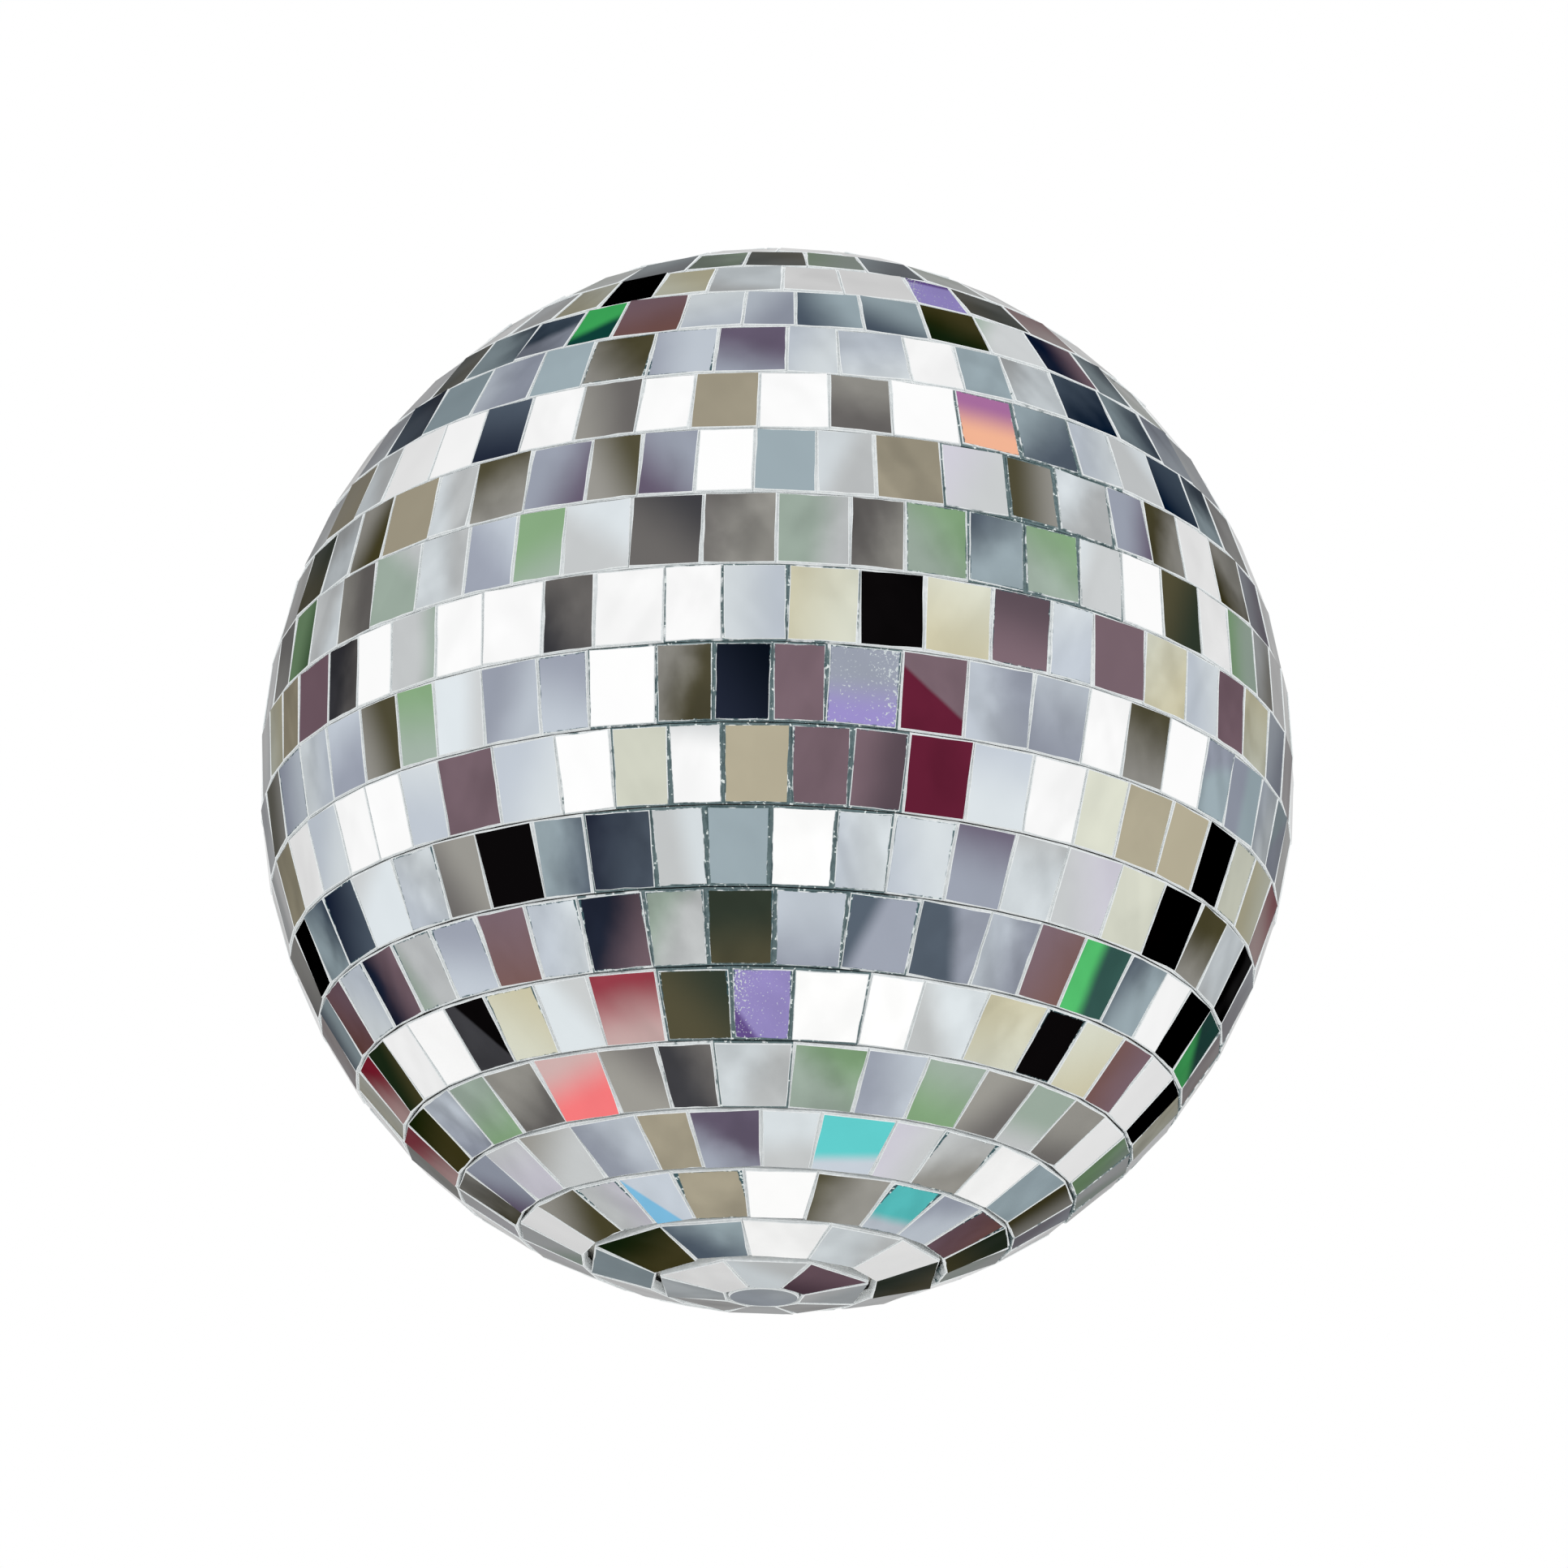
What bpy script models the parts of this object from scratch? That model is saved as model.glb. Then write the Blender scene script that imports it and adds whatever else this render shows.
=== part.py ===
"""Mirror ball, 150 mm across: a hollow two-part core, 21 rows of mirror tiles, and a swivel hanger.

The frame's origin is the hang point, the centre of the hanging ring's pivot bar. +Z is up, along the
axis that the ball spins about. The ring lies folded back towards +Y.
"""

import math
import random

import bmesh
import bpy

# ---- Driving dimensions, in metres -----------------------------------------------------------------

BALL_DIAMETER = 0.150  # across the tile faces at the equator
BALL_HEIGHT = 0.1556  # pole to pole, over the surface that the tile faces lie on

BAND_COUNT = 21  # rows of tiles between the pole mirror and the top plate
TILE_WIDTH = 0.0077
WIDE_TILE_ROW = 2  # counted from the bottom
WIDE_TILE_WIDTH = 0.0100
TILE_WIDTH_SPREAD = 0.17  # how far a hand-cut tile's width strays, as a share of its width
TILE_GAP = 0.00055
GLASS_THICKNESS = 0.0012
BACKING_THICKNESS = 0.0003  # the woven tape that holds one row of tiles together
ADHESIVE_BED = 0.0008  # between the tape and the core, where the flat tiles bridge the curve
POLE_MIRROR_RADIUS = 0.0048

CORE_WALL = 0.0030
LIP_HEIGHT = 0.0040  # the spigot by which the two halves of the core fit together
HUB_MARGIN = 0.0013  # how far the solid pad under the top plate reaches beyond the plate's seat
HUB_FLOOR = 0.0012  # under the screws' points
SEAT_RECESS = 0.0020  # how far the plate's seat is sunk into the core

PLATE_THICKNESS = 0.0020
SCREW_COUNT = 4
SCREW_SHANK_RADIUS = 0.00125
SCREW_HEAD_RADIUS = 0.0026
SCREW_HEAD_DEPTH = 0.0014
SCREW_LENGTH = 0.0070  # with its head
SCREW_POINT = 0.0008

STEM_RADIUS = 0.0025
STEM_SHOULDER = 0.0020  # by which the head stands out from the shank
STEM_HEAD_WALL = 0.0011  # above and below the cross bore
STEM_CHAMFER = 0.0006
STEM_TAIL = 0.0012  # how far the stem comes out of its nut
BUSH_WALL = 0.0014
BUSH_FLANGE_WIDTH = 0.0028
BUSH_FLANGE_THICKNESS = 0.0015
WASHER_WIDTH = 0.0032
WASHER_THICKNESS = 0.0010
NUT_WALL = 0.0012  # from the bore to a flat
NUT_HEIGHT = 0.0032
NUT_COLLAR_WALL = 0.0008
NUT_COLLAR_HEIGHT = 0.0014

RING_WIRE_RADIUS = 0.0012
RING_SIDE_ROOM = 0.0023  # from the stem's head to the ring's leg
RING_LEG = 0.0040  # from the pivot bar to where the round end starts
RING_CORNER_RADIUS = 0.0022
RING_EDGE_ROOM = 0.0022  # from the folded ring to the plate's edge

RUNNING_CLEARANCE = 0.00025  # round a part that turns, on the radius
TOUCH_GAP = 0.0003  # between faces that meet

# ---- Fineness of the round shapes ------------------------------------------------------------------

CORE_SEGMENTS = 36
CORE_ARC_STEPS = 8  # from pole to equator
SMALL_SEGMENTS = 20
PLATE_SEGMENTS = 40
RING_CORNER_STEPS = 4
RING_END_STEPS = 14
RING_BEVEL_RESOLUTION = 3
CUTTER_OVERRUN = 0.001
WIDTH_SEED = 11

# ---- Sizes that fit to each other ------------------------------------------------------------------

STEM_HEAD_RADIUS = STEM_RADIUS + STEM_SHOULDER
RING_HALF_WIDTH = STEM_HEAD_RADIUS + RING_SIDE_ROOM + RING_WIRE_RADIUS  # to the centreline of the leg
RING_REACH = RING_LEG + RING_HALF_WIDTH
PLATE_RADIUS = RING_REACH + RING_WIRE_RADIUS + RING_EDGE_ROOM
SEAT_RADIUS = PLATE_RADIUS + TOUCH_GAP
HUB_RADIUS = SEAT_RADIUS + HUB_MARGIN
HUB_DEPTH = SCREW_LENGTH + SCREW_POINT + HUB_FLOOR - PLATE_THICKNESS

BUSH_BORE_RADIUS = STEM_RADIUS + RUNNING_CLEARANCE
BUSH_BARREL_RADIUS = BUSH_BORE_RADIUS + BUSH_WALL
BUSH_SEAT_RADIUS = BUSH_BARREL_RADIUS + TOUCH_GAP
SCREW_CIRCLE_RADIUS = (BUSH_SEAT_RADIUS + PLATE_RADIUS) / 2

# ---- Heights on the axis, above the ball's centre --------------------------------------------------

HALF_WIDTH = BALL_DIAMETER / 2
HALF_HEIGHT = BALL_HEIGHT / 2
BAND_THICKNESS = GLASS_THICKNESS + BACKING_THICKNESS
CORE_INSET = BAND_THICKNESS + ADHESIVE_BED
CAVITY_INSET = CORE_INSET + CORE_WALL

RIM_ANGLE = math.pi - math.asin(SEAT_RADIUS / (HALF_WIDTH - CORE_INSET))
RIM_Z = -(HALF_HEIGHT - CORE_INSET) * math.cos(RIM_ANGLE)
SEAT_Z = RIM_Z - SEAT_RECESS
HUB_BOTTOM_Z = SEAT_Z - HUB_DEPTH
PLATE_BOTTOM_Z = SEAT_Z + TOUCH_GAP
PLATE_TOP_Z = PLATE_BOTTOM_Z + PLATE_THICKNESS

CROSS_BORE_RADIUS = RING_WIRE_RADIUS + RUNNING_CLEARANCE
HEAD_BOTTOM_Z = PLATE_TOP_Z + TOUCH_GAP
PIVOT_Z = HEAD_BOTTOM_Z + STEM_HEAD_WALL + CROSS_BORE_RADIUS
HEAD_TOP_Z = PIVOT_Z + CROSS_BORE_RADIUS + STEM_HEAD_WALL

FLANGE_TOP_Z = HUB_BOTTOM_Z - TOUCH_GAP
FLANGE_BOTTOM_Z = FLANGE_TOP_Z - BUSH_FLANGE_THICKNESS
WASHER_TOP_Z = FLANGE_BOTTOM_Z - TOUCH_GAP
WASHER_BOTTOM_Z = WASHER_TOP_Z - WASHER_THICKNESS
NUT_TOP_Z = WASHER_BOTTOM_Z - TOUCH_GAP
NUT_BOTTOM_Z = NUT_TOP_Z - NUT_HEIGHT - NUT_COLLAR_HEIGHT
STEM_BOTTOM_Z = NUT_BOTTOM_Z - STEM_TAIL

# The rows share the arc from the pole mirror's edge to the plate's edge, as angles from the bottom pole.
FIRST_EDGE = math.asin((POLE_MIRROR_RADIUS + TILE_GAP / 2) / HALF_WIDTH)
LAST_EDGE = math.pi - math.asin((PLATE_RADIUS + TILE_GAP) / HALF_WIDTH)
BAND_ANGLE = (LAST_EDGE - FIRST_EDGE) / BAND_COUNT
HALF_GAP_ANGLE = TILE_GAP / 2 / HALF_WIDTH

# The folded ring leans down until its round end lies just over the plate.
RING_DROOP = math.asin((PIVOT_Z - RING_WIRE_RADIUS - TOUCH_GAP - PLATE_TOP_Z) / RING_REACH)


# ---- Helpers ---------------------------------------------------------------------------------------


def clear_scene():
    for obj in list(bpy.data.objects):
        bpy.data.objects.remove(obj)


def make_material(name, colour, roughness, metallic):
    material = bpy.data.materials.new(name)
    material.use_nodes = True
    shader = material.node_tree.nodes["Principled BSDF"]
    shader.inputs["Base Color"].default_value = (*colour, 1)
    shader.inputs["Roughness"].default_value = roughness
    shader.inputs["Metallic"].default_value = metallic
    return material


def add_object(name, data, material, parent=None):
    obj = bpy.data.objects.new(name, data)
    bpy.context.scene.collection.objects.link(obj)
    obj.parent = parent
    if material:
        data.materials.append(material)
    return obj


def mesh_from(name, bm):
    """Cleans a bmesh, turns its faces outwards and makes it a mesh with crisp edges."""
    bmesh.ops.remove_doubles(bm, verts=bm.verts, dist=1e-6)
    bmesh.ops.recalc_face_normals(bm, faces=bm.faces)
    mesh = bpy.data.meshes.new(name)
    bm.to_mesh(mesh)
    bm.free()
    mesh.shade_smooth()
    mesh.set_sharp_from_angle(angle=math.radians(30))
    return mesh


def turned_mesh(name, profile, segments=SMALL_SEGMENTS):
    """Spins a profile of (radius, height) points round Z. A profile that ends on the axis stays open."""
    bm = bmesh.new()
    verts = [bm.verts.new((radius, 0, height)) for radius, height in profile]
    edges = [bm.edges.new(pair) for pair in zip(verts, verts[1:])]
    if profile[0][0] > 0 or profile[-1][0] > 0:
        edges.append(bm.edges.new((verts[-1], verts[0])))
    bmesh.ops.spin(bm, geom=verts + edges, cent=(0, 0, 0), axis=(0, 0, 1), angle=math.tau, steps=segments)
    return mesh_from(name, bm)


def ring_profile(inner, outer, bottom, top):
    return [(inner, bottom), (outer, bottom), (outer, top), (inner, top)]


def meridian(inset, start, end, steps):
    """Points of (radius, height) on the ball's surface, that far inside it, by the angle from the bottom."""
    points = []
    for step in range(steps + 1):
        angle = start + (end - start) * step / steps
        radius = (HALF_WIDTH - inset) * math.sin(angle)
        points.append((radius if radius > 1e-9 else 0.0, -(HALF_HEIGHT - inset) * math.cos(angle)))
    return points


def angle_at_height(inset, height):
    return math.acos(-height / (HALF_HEIGHT - inset))


def cut(obj, cutter):
    boolean = obj.modifiers.new("cut_" + cutter.name, "BOOLEAN")
    boolean.operation = "DIFFERENCE"
    boolean.object = cutter
    cutter.hide_render = True
    cutter.display_type = "WIRE"


# ---- Core ------------------------------------------------------------------------------------------

LIP_OUTER_RADIUS = HALF_WIDTH - CORE_INSET - (CORE_WALL + TOUCH_GAP) / 2


def core_lower_profile():
    """From the outside of the bottom pole, up over the spigot and down the inside, back to the axis."""
    equator = math.pi / 2
    outside = meridian(CORE_INSET, 0, equator, CORE_ARC_STEPS)
    inside = meridian(CAVITY_INSET, equator, 0, CORE_ARC_STEPS)
    outside[-1] = (outside[-1][0], -TOUCH_GAP / 2)
    lip = [
        (LIP_OUTER_RADIUS, -TOUCH_GAP / 2),
        (LIP_OUTER_RADIUS, LIP_HEIGHT),
        (HALF_WIDTH - CAVITY_INSET, LIP_HEIGHT),
    ]
    return outside + lip + inside


def core_upper_profile():
    """From the rebate that takes the spigot, over the outside to the flat seat, and down round the hub."""
    rebate_radius = LIP_OUTER_RADIUS + TOUCH_GAP
    rebate_top = LIP_HEIGHT + TOUCH_GAP
    outside = meridian(CORE_INSET, math.pi / 2, RIM_ANGLE, CORE_ARC_STEPS)
    outside[0] = (outside[0][0], TOUCH_GAP / 2)
    hub_angle = math.pi - math.asin(HUB_RADIUS / (HALF_WIDTH - CAVITY_INSET))
    inside = meridian(CAVITY_INSET, hub_angle, angle_at_height(CAVITY_INSET, rebate_top), CORE_ARC_STEPS)
    hub = [
        (SEAT_RADIUS, SEAT_Z),
        (BUSH_SEAT_RADIUS, SEAT_Z),
        (BUSH_SEAT_RADIUS, HUB_BOTTOM_Z),
        (HUB_RADIUS, HUB_BOTTOM_Z),
    ]
    rebate = [(rebate_radius, rebate_top), (rebate_radius, TOUCH_GAP / 2)]
    return outside + hub + inside + rebate


def build_core(centre, plastic):
    lower = turned_mesh("core_lower_shell", core_lower_profile(), CORE_SEGMENTS)
    add_object("core_lower_shell", lower, plastic, centre)
    upper = turned_mesh("core_upper_shell", core_upper_profile(), CORE_SEGMENTS)
    return add_object("core_upper_shell", upper, plastic, centre)


# ---- Mirror tiles ----------------------------------------------------------------------------------


def tile_edge_angles(row, middle_radius):
    """Where a row's tiles meet, as angles round the ball: hand-cut tiles that close up the whole row."""
    width = WIDE_TILE_WIDTH if row == WIDE_TILE_ROW else TILE_WIDTH
    count = round(math.tau * middle_radius / (width + TILE_GAP))
    dice = random.Random(WIDTH_SEED + row)
    shares = [1 + dice.uniform(-TILE_WIDTH_SPREAD, TILE_WIDTH_SPREAD) for _ in range(count)]
    turn = dice.uniform(0, math.tau)
    angles = []
    for share in shares:
        angles.append(turn)
        turn += math.tau * share / sum(shares)
    return angles


def clear_of_line(angle, edges):
    """Moves an edge away from the nearer pole until the middles of the flat tiles clear the row line."""
    half_tile = max(after - before for before, after in zip(edges, edges[1:])) / 2
    return math.atan2(math.sin(angle) / math.cos(half_tile), math.cos(angle))


def band_mesh(name, row):
    """One row: a ring with a flat facet for each tile, as thick as the glass and its tape."""
    middle = FIRST_EDGE + BAND_ANGLE * (row - 0.5)
    low, high = middle - BAND_ANGLE / 2 + HALF_GAP_ANGLE, middle + BAND_ANGLE / 2 - HALF_GAP_ANGLE
    edges = tile_edge_angles(row, HALF_WIDTH * math.sin(middle))
    if low < math.pi / 2:
        low = clear_of_line(low, edges)
    if high > math.pi / 2:
        high = clear_of_line(high, edges)
    (low_radius, low_z), (high_radius, high_z) = meridian(0, low, high, 1)
    length = math.hypot(high_radius - low_radius, high_z - low_z)
    in_radius = -(high_z - low_z) / length * BAND_THICKNESS
    in_z = (high_radius - low_radius) / length * BAND_THICKNESS
    section = [
        (low_radius, low_z),
        (high_radius, high_z),
        (high_radius + in_radius, high_z + in_z),
        (low_radius + in_radius, low_z + in_z),
    ]
    bm = bmesh.new()
    rings = []
    for angle in edges:
        across, along = math.cos(angle), math.sin(angle)
        rings.append([bm.verts.new((radius * across, radius * along, z)) for radius, z in section])
    for ring, following in zip(rings, rings[1:] + rings[:1]):
        for side in range(4):
            after = (side + 1) % 4
            bm.faces.new((ring[side], following[side], following[after], ring[after]))
    return mesh_from(name, bm)


def build_mirrors(centre, mirror):
    for row in range(1, BAND_COUNT + 1):
        name = f"mirror_band_{row:02d}"
        add_object(name, band_mesh(name, row), mirror, centre)
    face_z = -HALF_HEIGHT * math.cos(FIRST_EDGE)
    disc = [
        (0, face_z),
        (POLE_MIRROR_RADIUS, face_z),
        (POLE_MIRROR_RADIUS, face_z + BAND_THICKNESS),
        (0, face_z + BAND_THICKNESS),
    ]
    add_object("pole_mirror", turned_mesh("pole_mirror", disc), mirror, centre)


# ---- Top plate and its screws ----------------------------------------------------------------------


def screw_places():
    for number in range(SCREW_COUNT):
        angle = math.tau * (number + 0.5) / SCREW_COUNT
        yield SCREW_CIRCLE_RADIUS * math.cos(angle), SCREW_CIRCLE_RADIUS * math.sin(angle)


def screw_profile(grow, overrun):
    """A countersunk screw with its head's face at height 0, grown all round for its hole."""
    shank, head = SCREW_SHANK_RADIUS + grow, SCREW_HEAD_RADIUS + grow
    return [
        (0, overrun),
        (head, overrun),
        (head, -grow / 2),
        (shank, -SCREW_HEAD_DEPTH - grow / 2),
        (shank, -SCREW_LENGTH - grow),
        (0, -SCREW_LENGTH - SCREW_POINT - grow),
    ]


def build_top_plate(centre, core_upper, steel, screw_steel):
    profile = ring_profile(BUSH_SEAT_RADIUS, PLATE_RADIUS, PLATE_BOTTOM_Z, PLATE_TOP_Z)
    plate = add_object("top_plate", turned_mesh("top_plate", profile, PLATE_SEGMENTS), steel, centre)
    face = [(0, 0), *screw_profile(0, 0)[1:]]
    screw_mesh = turned_mesh("plate_screw", face)
    hole_mesh = turned_mesh("screw_hole", screw_profile(TOUCH_GAP, CUTTER_OVERRUN))
    for number, (x, y) in enumerate(screw_places(), 1):
        screw = add_object(f"plate_screw_{number}", screw_mesh, None, centre)
        screw.location = (x, y, PLATE_TOP_Z - TOUCH_GAP / 3)
        hole = add_object(f"screw_hole_{number}", hole_mesh, None, centre)
        hole.location = screw.location
        cut(plate, hole)
        cut(core_upper, hole)
    screw_mesh.materials.append(screw_steel)


# ---- Swivel hanger ---------------------------------------------------------------------------------


def stem_profile():
    return [
        (0, HEAD_TOP_Z),
        (STEM_HEAD_RADIUS - STEM_CHAMFER, HEAD_TOP_Z),
        (STEM_HEAD_RADIUS, HEAD_TOP_Z - STEM_CHAMFER),
        (STEM_HEAD_RADIUS, HEAD_BOTTOM_Z),
        (STEM_RADIUS, HEAD_BOTTOM_Z),
        (STEM_RADIUS, STEM_BOTTOM_Z + STEM_CHAMFER),
        (STEM_RADIUS - STEM_CHAMFER, STEM_BOTTOM_Z),
        (0, STEM_BOTTOM_Z),
    ]


def bush_profile():
    flange_radius = BUSH_BARREL_RADIUS + BUSH_FLANGE_WIDTH
    return [
        (BUSH_BORE_RADIUS, PLATE_TOP_Z),
        (BUSH_BORE_RADIUS, FLANGE_BOTTOM_Z),
        (flange_radius, FLANGE_BOTTOM_Z),
        (flange_radius, FLANGE_TOP_Z),
        (BUSH_BARREL_RADIUS, FLANGE_TOP_Z),
        (BUSH_BARREL_RADIUS, PLATE_TOP_Z),
    ]


def build_nut(centre, steel):
    """A lock nut: a hexagon with a round collar under it, bored through."""
    bm = bmesh.new()
    corner = (BUSH_BORE_RADIUS + NUT_WALL) / math.cos(math.pi / 6)
    bmesh.ops.create_cone(bm, cap_ends=True, segments=6, radius1=corner, radius2=corner, depth=NUT_HEIGHT)
    bmesh.ops.translate(bm, verts=bm.verts, vec=(0, 0, NUT_TOP_Z - NUT_HEIGHT / 2))
    nut = add_object("stem_nut", mesh_from("stem_nut", bm), steel, centre)
    collar_radius = BUSH_BORE_RADIUS + NUT_COLLAR_WALL
    collar_profile = [
        (0, NUT_BOTTOM_Z),
        (collar_radius, NUT_BOTTOM_Z),
        (collar_radius, NUT_TOP_Z - NUT_HEIGHT / 2),
        (0, NUT_TOP_Z - NUT_HEIGHT / 2),
    ]
    collar = add_object("nut_collar", turned_mesh("nut_collar", collar_profile), None, centre)
    union = nut.modifiers.new("collar", "BOOLEAN")
    union.operation = "UNION"
    union.object = collar
    collar.hide_render = True
    collar.display_type = "WIRE"
    bore_profile = [
        (0, NUT_BOTTOM_Z - CUTTER_OVERRUN),
        (BUSH_BORE_RADIUS, NUT_BOTTOM_Z - CUTTER_OVERRUN),
        (BUSH_BORE_RADIUS, NUT_TOP_Z + CUTTER_OVERRUN),
        (0, NUT_TOP_Z + CUTTER_OVERRUN),
    ]
    cut(nut, add_object("nut_bore", turned_mesh("nut_bore", bore_profile), None, centre))


def ring_path():
    """The D ring's centreline: its bar along X through the origin, two legs, and a round end at +Y."""
    corner = RING_CORNER_RADIUS
    points = []
    for step in range(RING_CORNER_STEPS + 1):
        angle = -math.pi / 2 + math.pi / 2 * step / RING_CORNER_STEPS
        x = RING_HALF_WIDTH - corner + corner * math.cos(angle)
        points.append((x, corner + corner * math.sin(angle)))
    for step in range(RING_END_STEPS + 1):
        angle = math.pi * step / RING_END_STEPS
        points.append((RING_HALF_WIDTH * math.cos(angle), RING_LEG + RING_HALF_WIDTH * math.sin(angle)))
    for step in range(RING_CORNER_STEPS + 1):
        angle = math.pi + math.pi / 2 * step / RING_CORNER_STEPS
        x = -RING_HALF_WIDTH + corner + corner * math.cos(angle)
        points.append((x, corner + corner * math.sin(angle)))
    return points


def build_ring(steel):
    curve = bpy.data.curves.new("hanging_ring", "CURVE")
    curve.dimensions = "3D"
    curve.bevel_depth = RING_WIRE_RADIUS
    curve.bevel_resolution = RING_BEVEL_RESOLUTION
    path = ring_path()
    spline = curve.splines.new("POLY")
    spline.points.add(len(path) - 1)
    for point, (x, y) in zip(spline.points, path):
        point.co = (x, y, 0, 1)
    spline.use_cyclic_u = True
    ring = add_object("hanging_ring", curve, steel)
    ring.rotation_euler.x = -RING_DROOP


def build_hanger(centre, steel, nylon):
    stem = add_object("hanger_stem", turned_mesh("hanger_stem", stem_profile()), steel, centre)
    bm = bmesh.new()
    bmesh.ops.create_cone(
        bm,
        cap_ends=True,
        segments=SMALL_SEGMENTS,
        radius1=CROSS_BORE_RADIUS,
        radius2=CROSS_BORE_RADIUS,
        depth=2 * (STEM_HEAD_RADIUS + CUTTER_OVERRUN),
    )
    bore = add_object("cross_bore", mesh_from("cross_bore", bm), None, centre)
    bore.location.z = PIVOT_Z
    bore.rotation_euler.y = math.pi / 2
    cut(stem, bore)
    add_object("hanger_bush", turned_mesh("hanger_bush", bush_profile()), nylon, centre)
    washer_radius = BUSH_BORE_RADIUS + WASHER_WIDTH
    washer = ring_profile(BUSH_BORE_RADIUS, washer_radius, WASHER_BOTTOM_Z, WASHER_TOP_Z)
    add_object("thrust_washer", turned_mesh("thrust_washer", washer), steel, centre)
    build_nut(centre, steel)
    build_ring(steel)


# ---- Assembly --------------------------------------------------------------------------------------


def main():
    clear_scene()
    mirror = make_material("mirror_glass", (0.88, 0.89, 0.90), 0.05, 1.0)
    plastic = make_material("core_plastic", (0.80, 0.80, 0.78), 0.45, 0.0)
    chrome = make_material("plate_chrome", (0.72, 0.73, 0.75), 0.15, 1.0)
    steel = make_material("hanger_steel", (0.55, 0.56, 0.58), 0.30, 1.0)
    nylon = make_material("bush_nylon", (0.90, 0.89, 0.85), 0.40, 0.0)

    centre = bpy.data.objects.new("ball_centre", None)
    bpy.context.scene.collection.objects.link(centre)
    centre.location.z = -PIVOT_Z

    core_upper = build_core(centre, plastic)
    build_mirrors(centre, mirror)
    build_top_plate(centre, core_upper, chrome, steel)
    build_hanger(centre, steel, nylon)
    print(f"Ball centre {-PIVOT_Z * 1000:.3f} mm, ring droop {math.degrees(RING_DROOP):.3f} degrees")


main()
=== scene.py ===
# %% [markdown]
# # A mirror ball, 150 mm across
# A mirror ball is a hollow core covered in rows of small flat glass mirrors, and hangs from a swivel in its
# top plate. Each mirror is cut by hand, so its width, tilt and edges all stray a little, and that makes the
# ball glitter. The imported CAD model says where every row and fitting is. The cells below build the rows,
# the pole mirror, the plate, the screws, the stem and the ring again in detail, and give the core, the bush,
# the washer and the nut new finishes.

import math
import random
from collections import Counter

import bmesh
import bpy
import numpy as np
from mathutils import Matrix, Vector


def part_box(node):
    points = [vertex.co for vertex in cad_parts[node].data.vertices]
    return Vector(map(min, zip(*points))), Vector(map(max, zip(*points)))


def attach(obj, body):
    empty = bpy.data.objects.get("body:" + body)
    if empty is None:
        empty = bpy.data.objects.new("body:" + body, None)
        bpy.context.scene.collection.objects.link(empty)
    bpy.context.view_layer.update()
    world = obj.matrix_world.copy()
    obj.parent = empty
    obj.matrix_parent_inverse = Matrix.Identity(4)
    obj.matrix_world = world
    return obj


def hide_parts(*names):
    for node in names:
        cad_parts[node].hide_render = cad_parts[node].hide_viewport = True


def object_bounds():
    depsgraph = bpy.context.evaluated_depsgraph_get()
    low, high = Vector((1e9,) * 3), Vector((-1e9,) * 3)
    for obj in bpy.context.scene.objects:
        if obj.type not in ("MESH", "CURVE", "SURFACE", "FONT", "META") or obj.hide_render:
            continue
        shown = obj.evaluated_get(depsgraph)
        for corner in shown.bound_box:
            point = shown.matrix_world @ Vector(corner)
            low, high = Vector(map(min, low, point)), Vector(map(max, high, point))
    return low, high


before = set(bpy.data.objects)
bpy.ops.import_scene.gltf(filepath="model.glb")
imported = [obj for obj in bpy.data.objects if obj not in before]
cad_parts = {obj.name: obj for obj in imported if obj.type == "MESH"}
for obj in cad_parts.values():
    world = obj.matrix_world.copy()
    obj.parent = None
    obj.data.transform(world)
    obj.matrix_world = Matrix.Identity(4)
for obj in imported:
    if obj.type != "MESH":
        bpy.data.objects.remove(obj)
cad_low, cad_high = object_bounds()
ROWS = sorted(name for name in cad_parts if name.startswith("mirror_band_"))
print(f"{len(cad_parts)} CAD nodes, {len(ROWS)} of them rows of mirrors")


def shown(name, data):
    """A new object in the scene."""
    obj = bpy.data.objects.new(name, data)
    bpy.context.scene.collection.objects.link(obj)
    return obj


# %% [markdown]
# The two halves of the core meet at the middle of the ball, so the bottom of the upper half gives its
# centre. The frame's origin is the hang point, and the ball hangs below it.

# %% The middle of the ball
TOUCH_GAP = 0.0003
ball_centre_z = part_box("core_upper_shell")[0].z - TOUCH_GAP / 2
ball_radius = cad_high.x
print(f"centre at {ball_centre_z * 1000:.2f} mm, radius {ball_radius * 1000:.2f} mm")

# %% [markdown]
# The camera looks up at the ball, as somebody does at a ball that hangs overhead, and leans a little to one
# side. A long lens from seven and a half radii away keeps the ball round.

# %% Camera
CAMERA_DISTANCE = 7.5 * ball_radius
CAMERA_ELEVATION = math.radians(-22)
CAMERA_LEAN = math.radians(1.5)
CAMERA_LENS = 88.2

camera_data = bpy.data.cameras.new("camera")
camera_data.lens = CAMERA_LENS
camera_data.sensor_width = 36
camera_data.clip_start = 0.01
camera_data.shift_x, camera_data.shift_y = 0.0043, -0.0030
camera = shown("camera", camera_data)
camera.location = (
    0,
    -CAMERA_DISTANCE * math.cos(CAMERA_ELEVATION),
    ball_centre_z + CAMERA_DISTANCE * math.sin(CAMERA_ELEVATION),
)
aim = Matrix.Rotation(math.pi / 2 - CAMERA_ELEVATION, 3, "X") @ Matrix.Rotation(CAMERA_LEAN, 3, "Z")
camera.rotation_euler = aim.to_euler()
bpy.context.scene.camera = camera
print(f"camera at {tuple(round(v, 3) for v in camera.location)}")

# %% [markdown]
# ## Wiring trees
# Geometry trees and shader trees are both nodes joined by links, and building them in a script is wordy.
# The first of these small classes lets a node's output take part in a sum. The second keeps a tree, adds
# nodes and joins them up.


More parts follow.
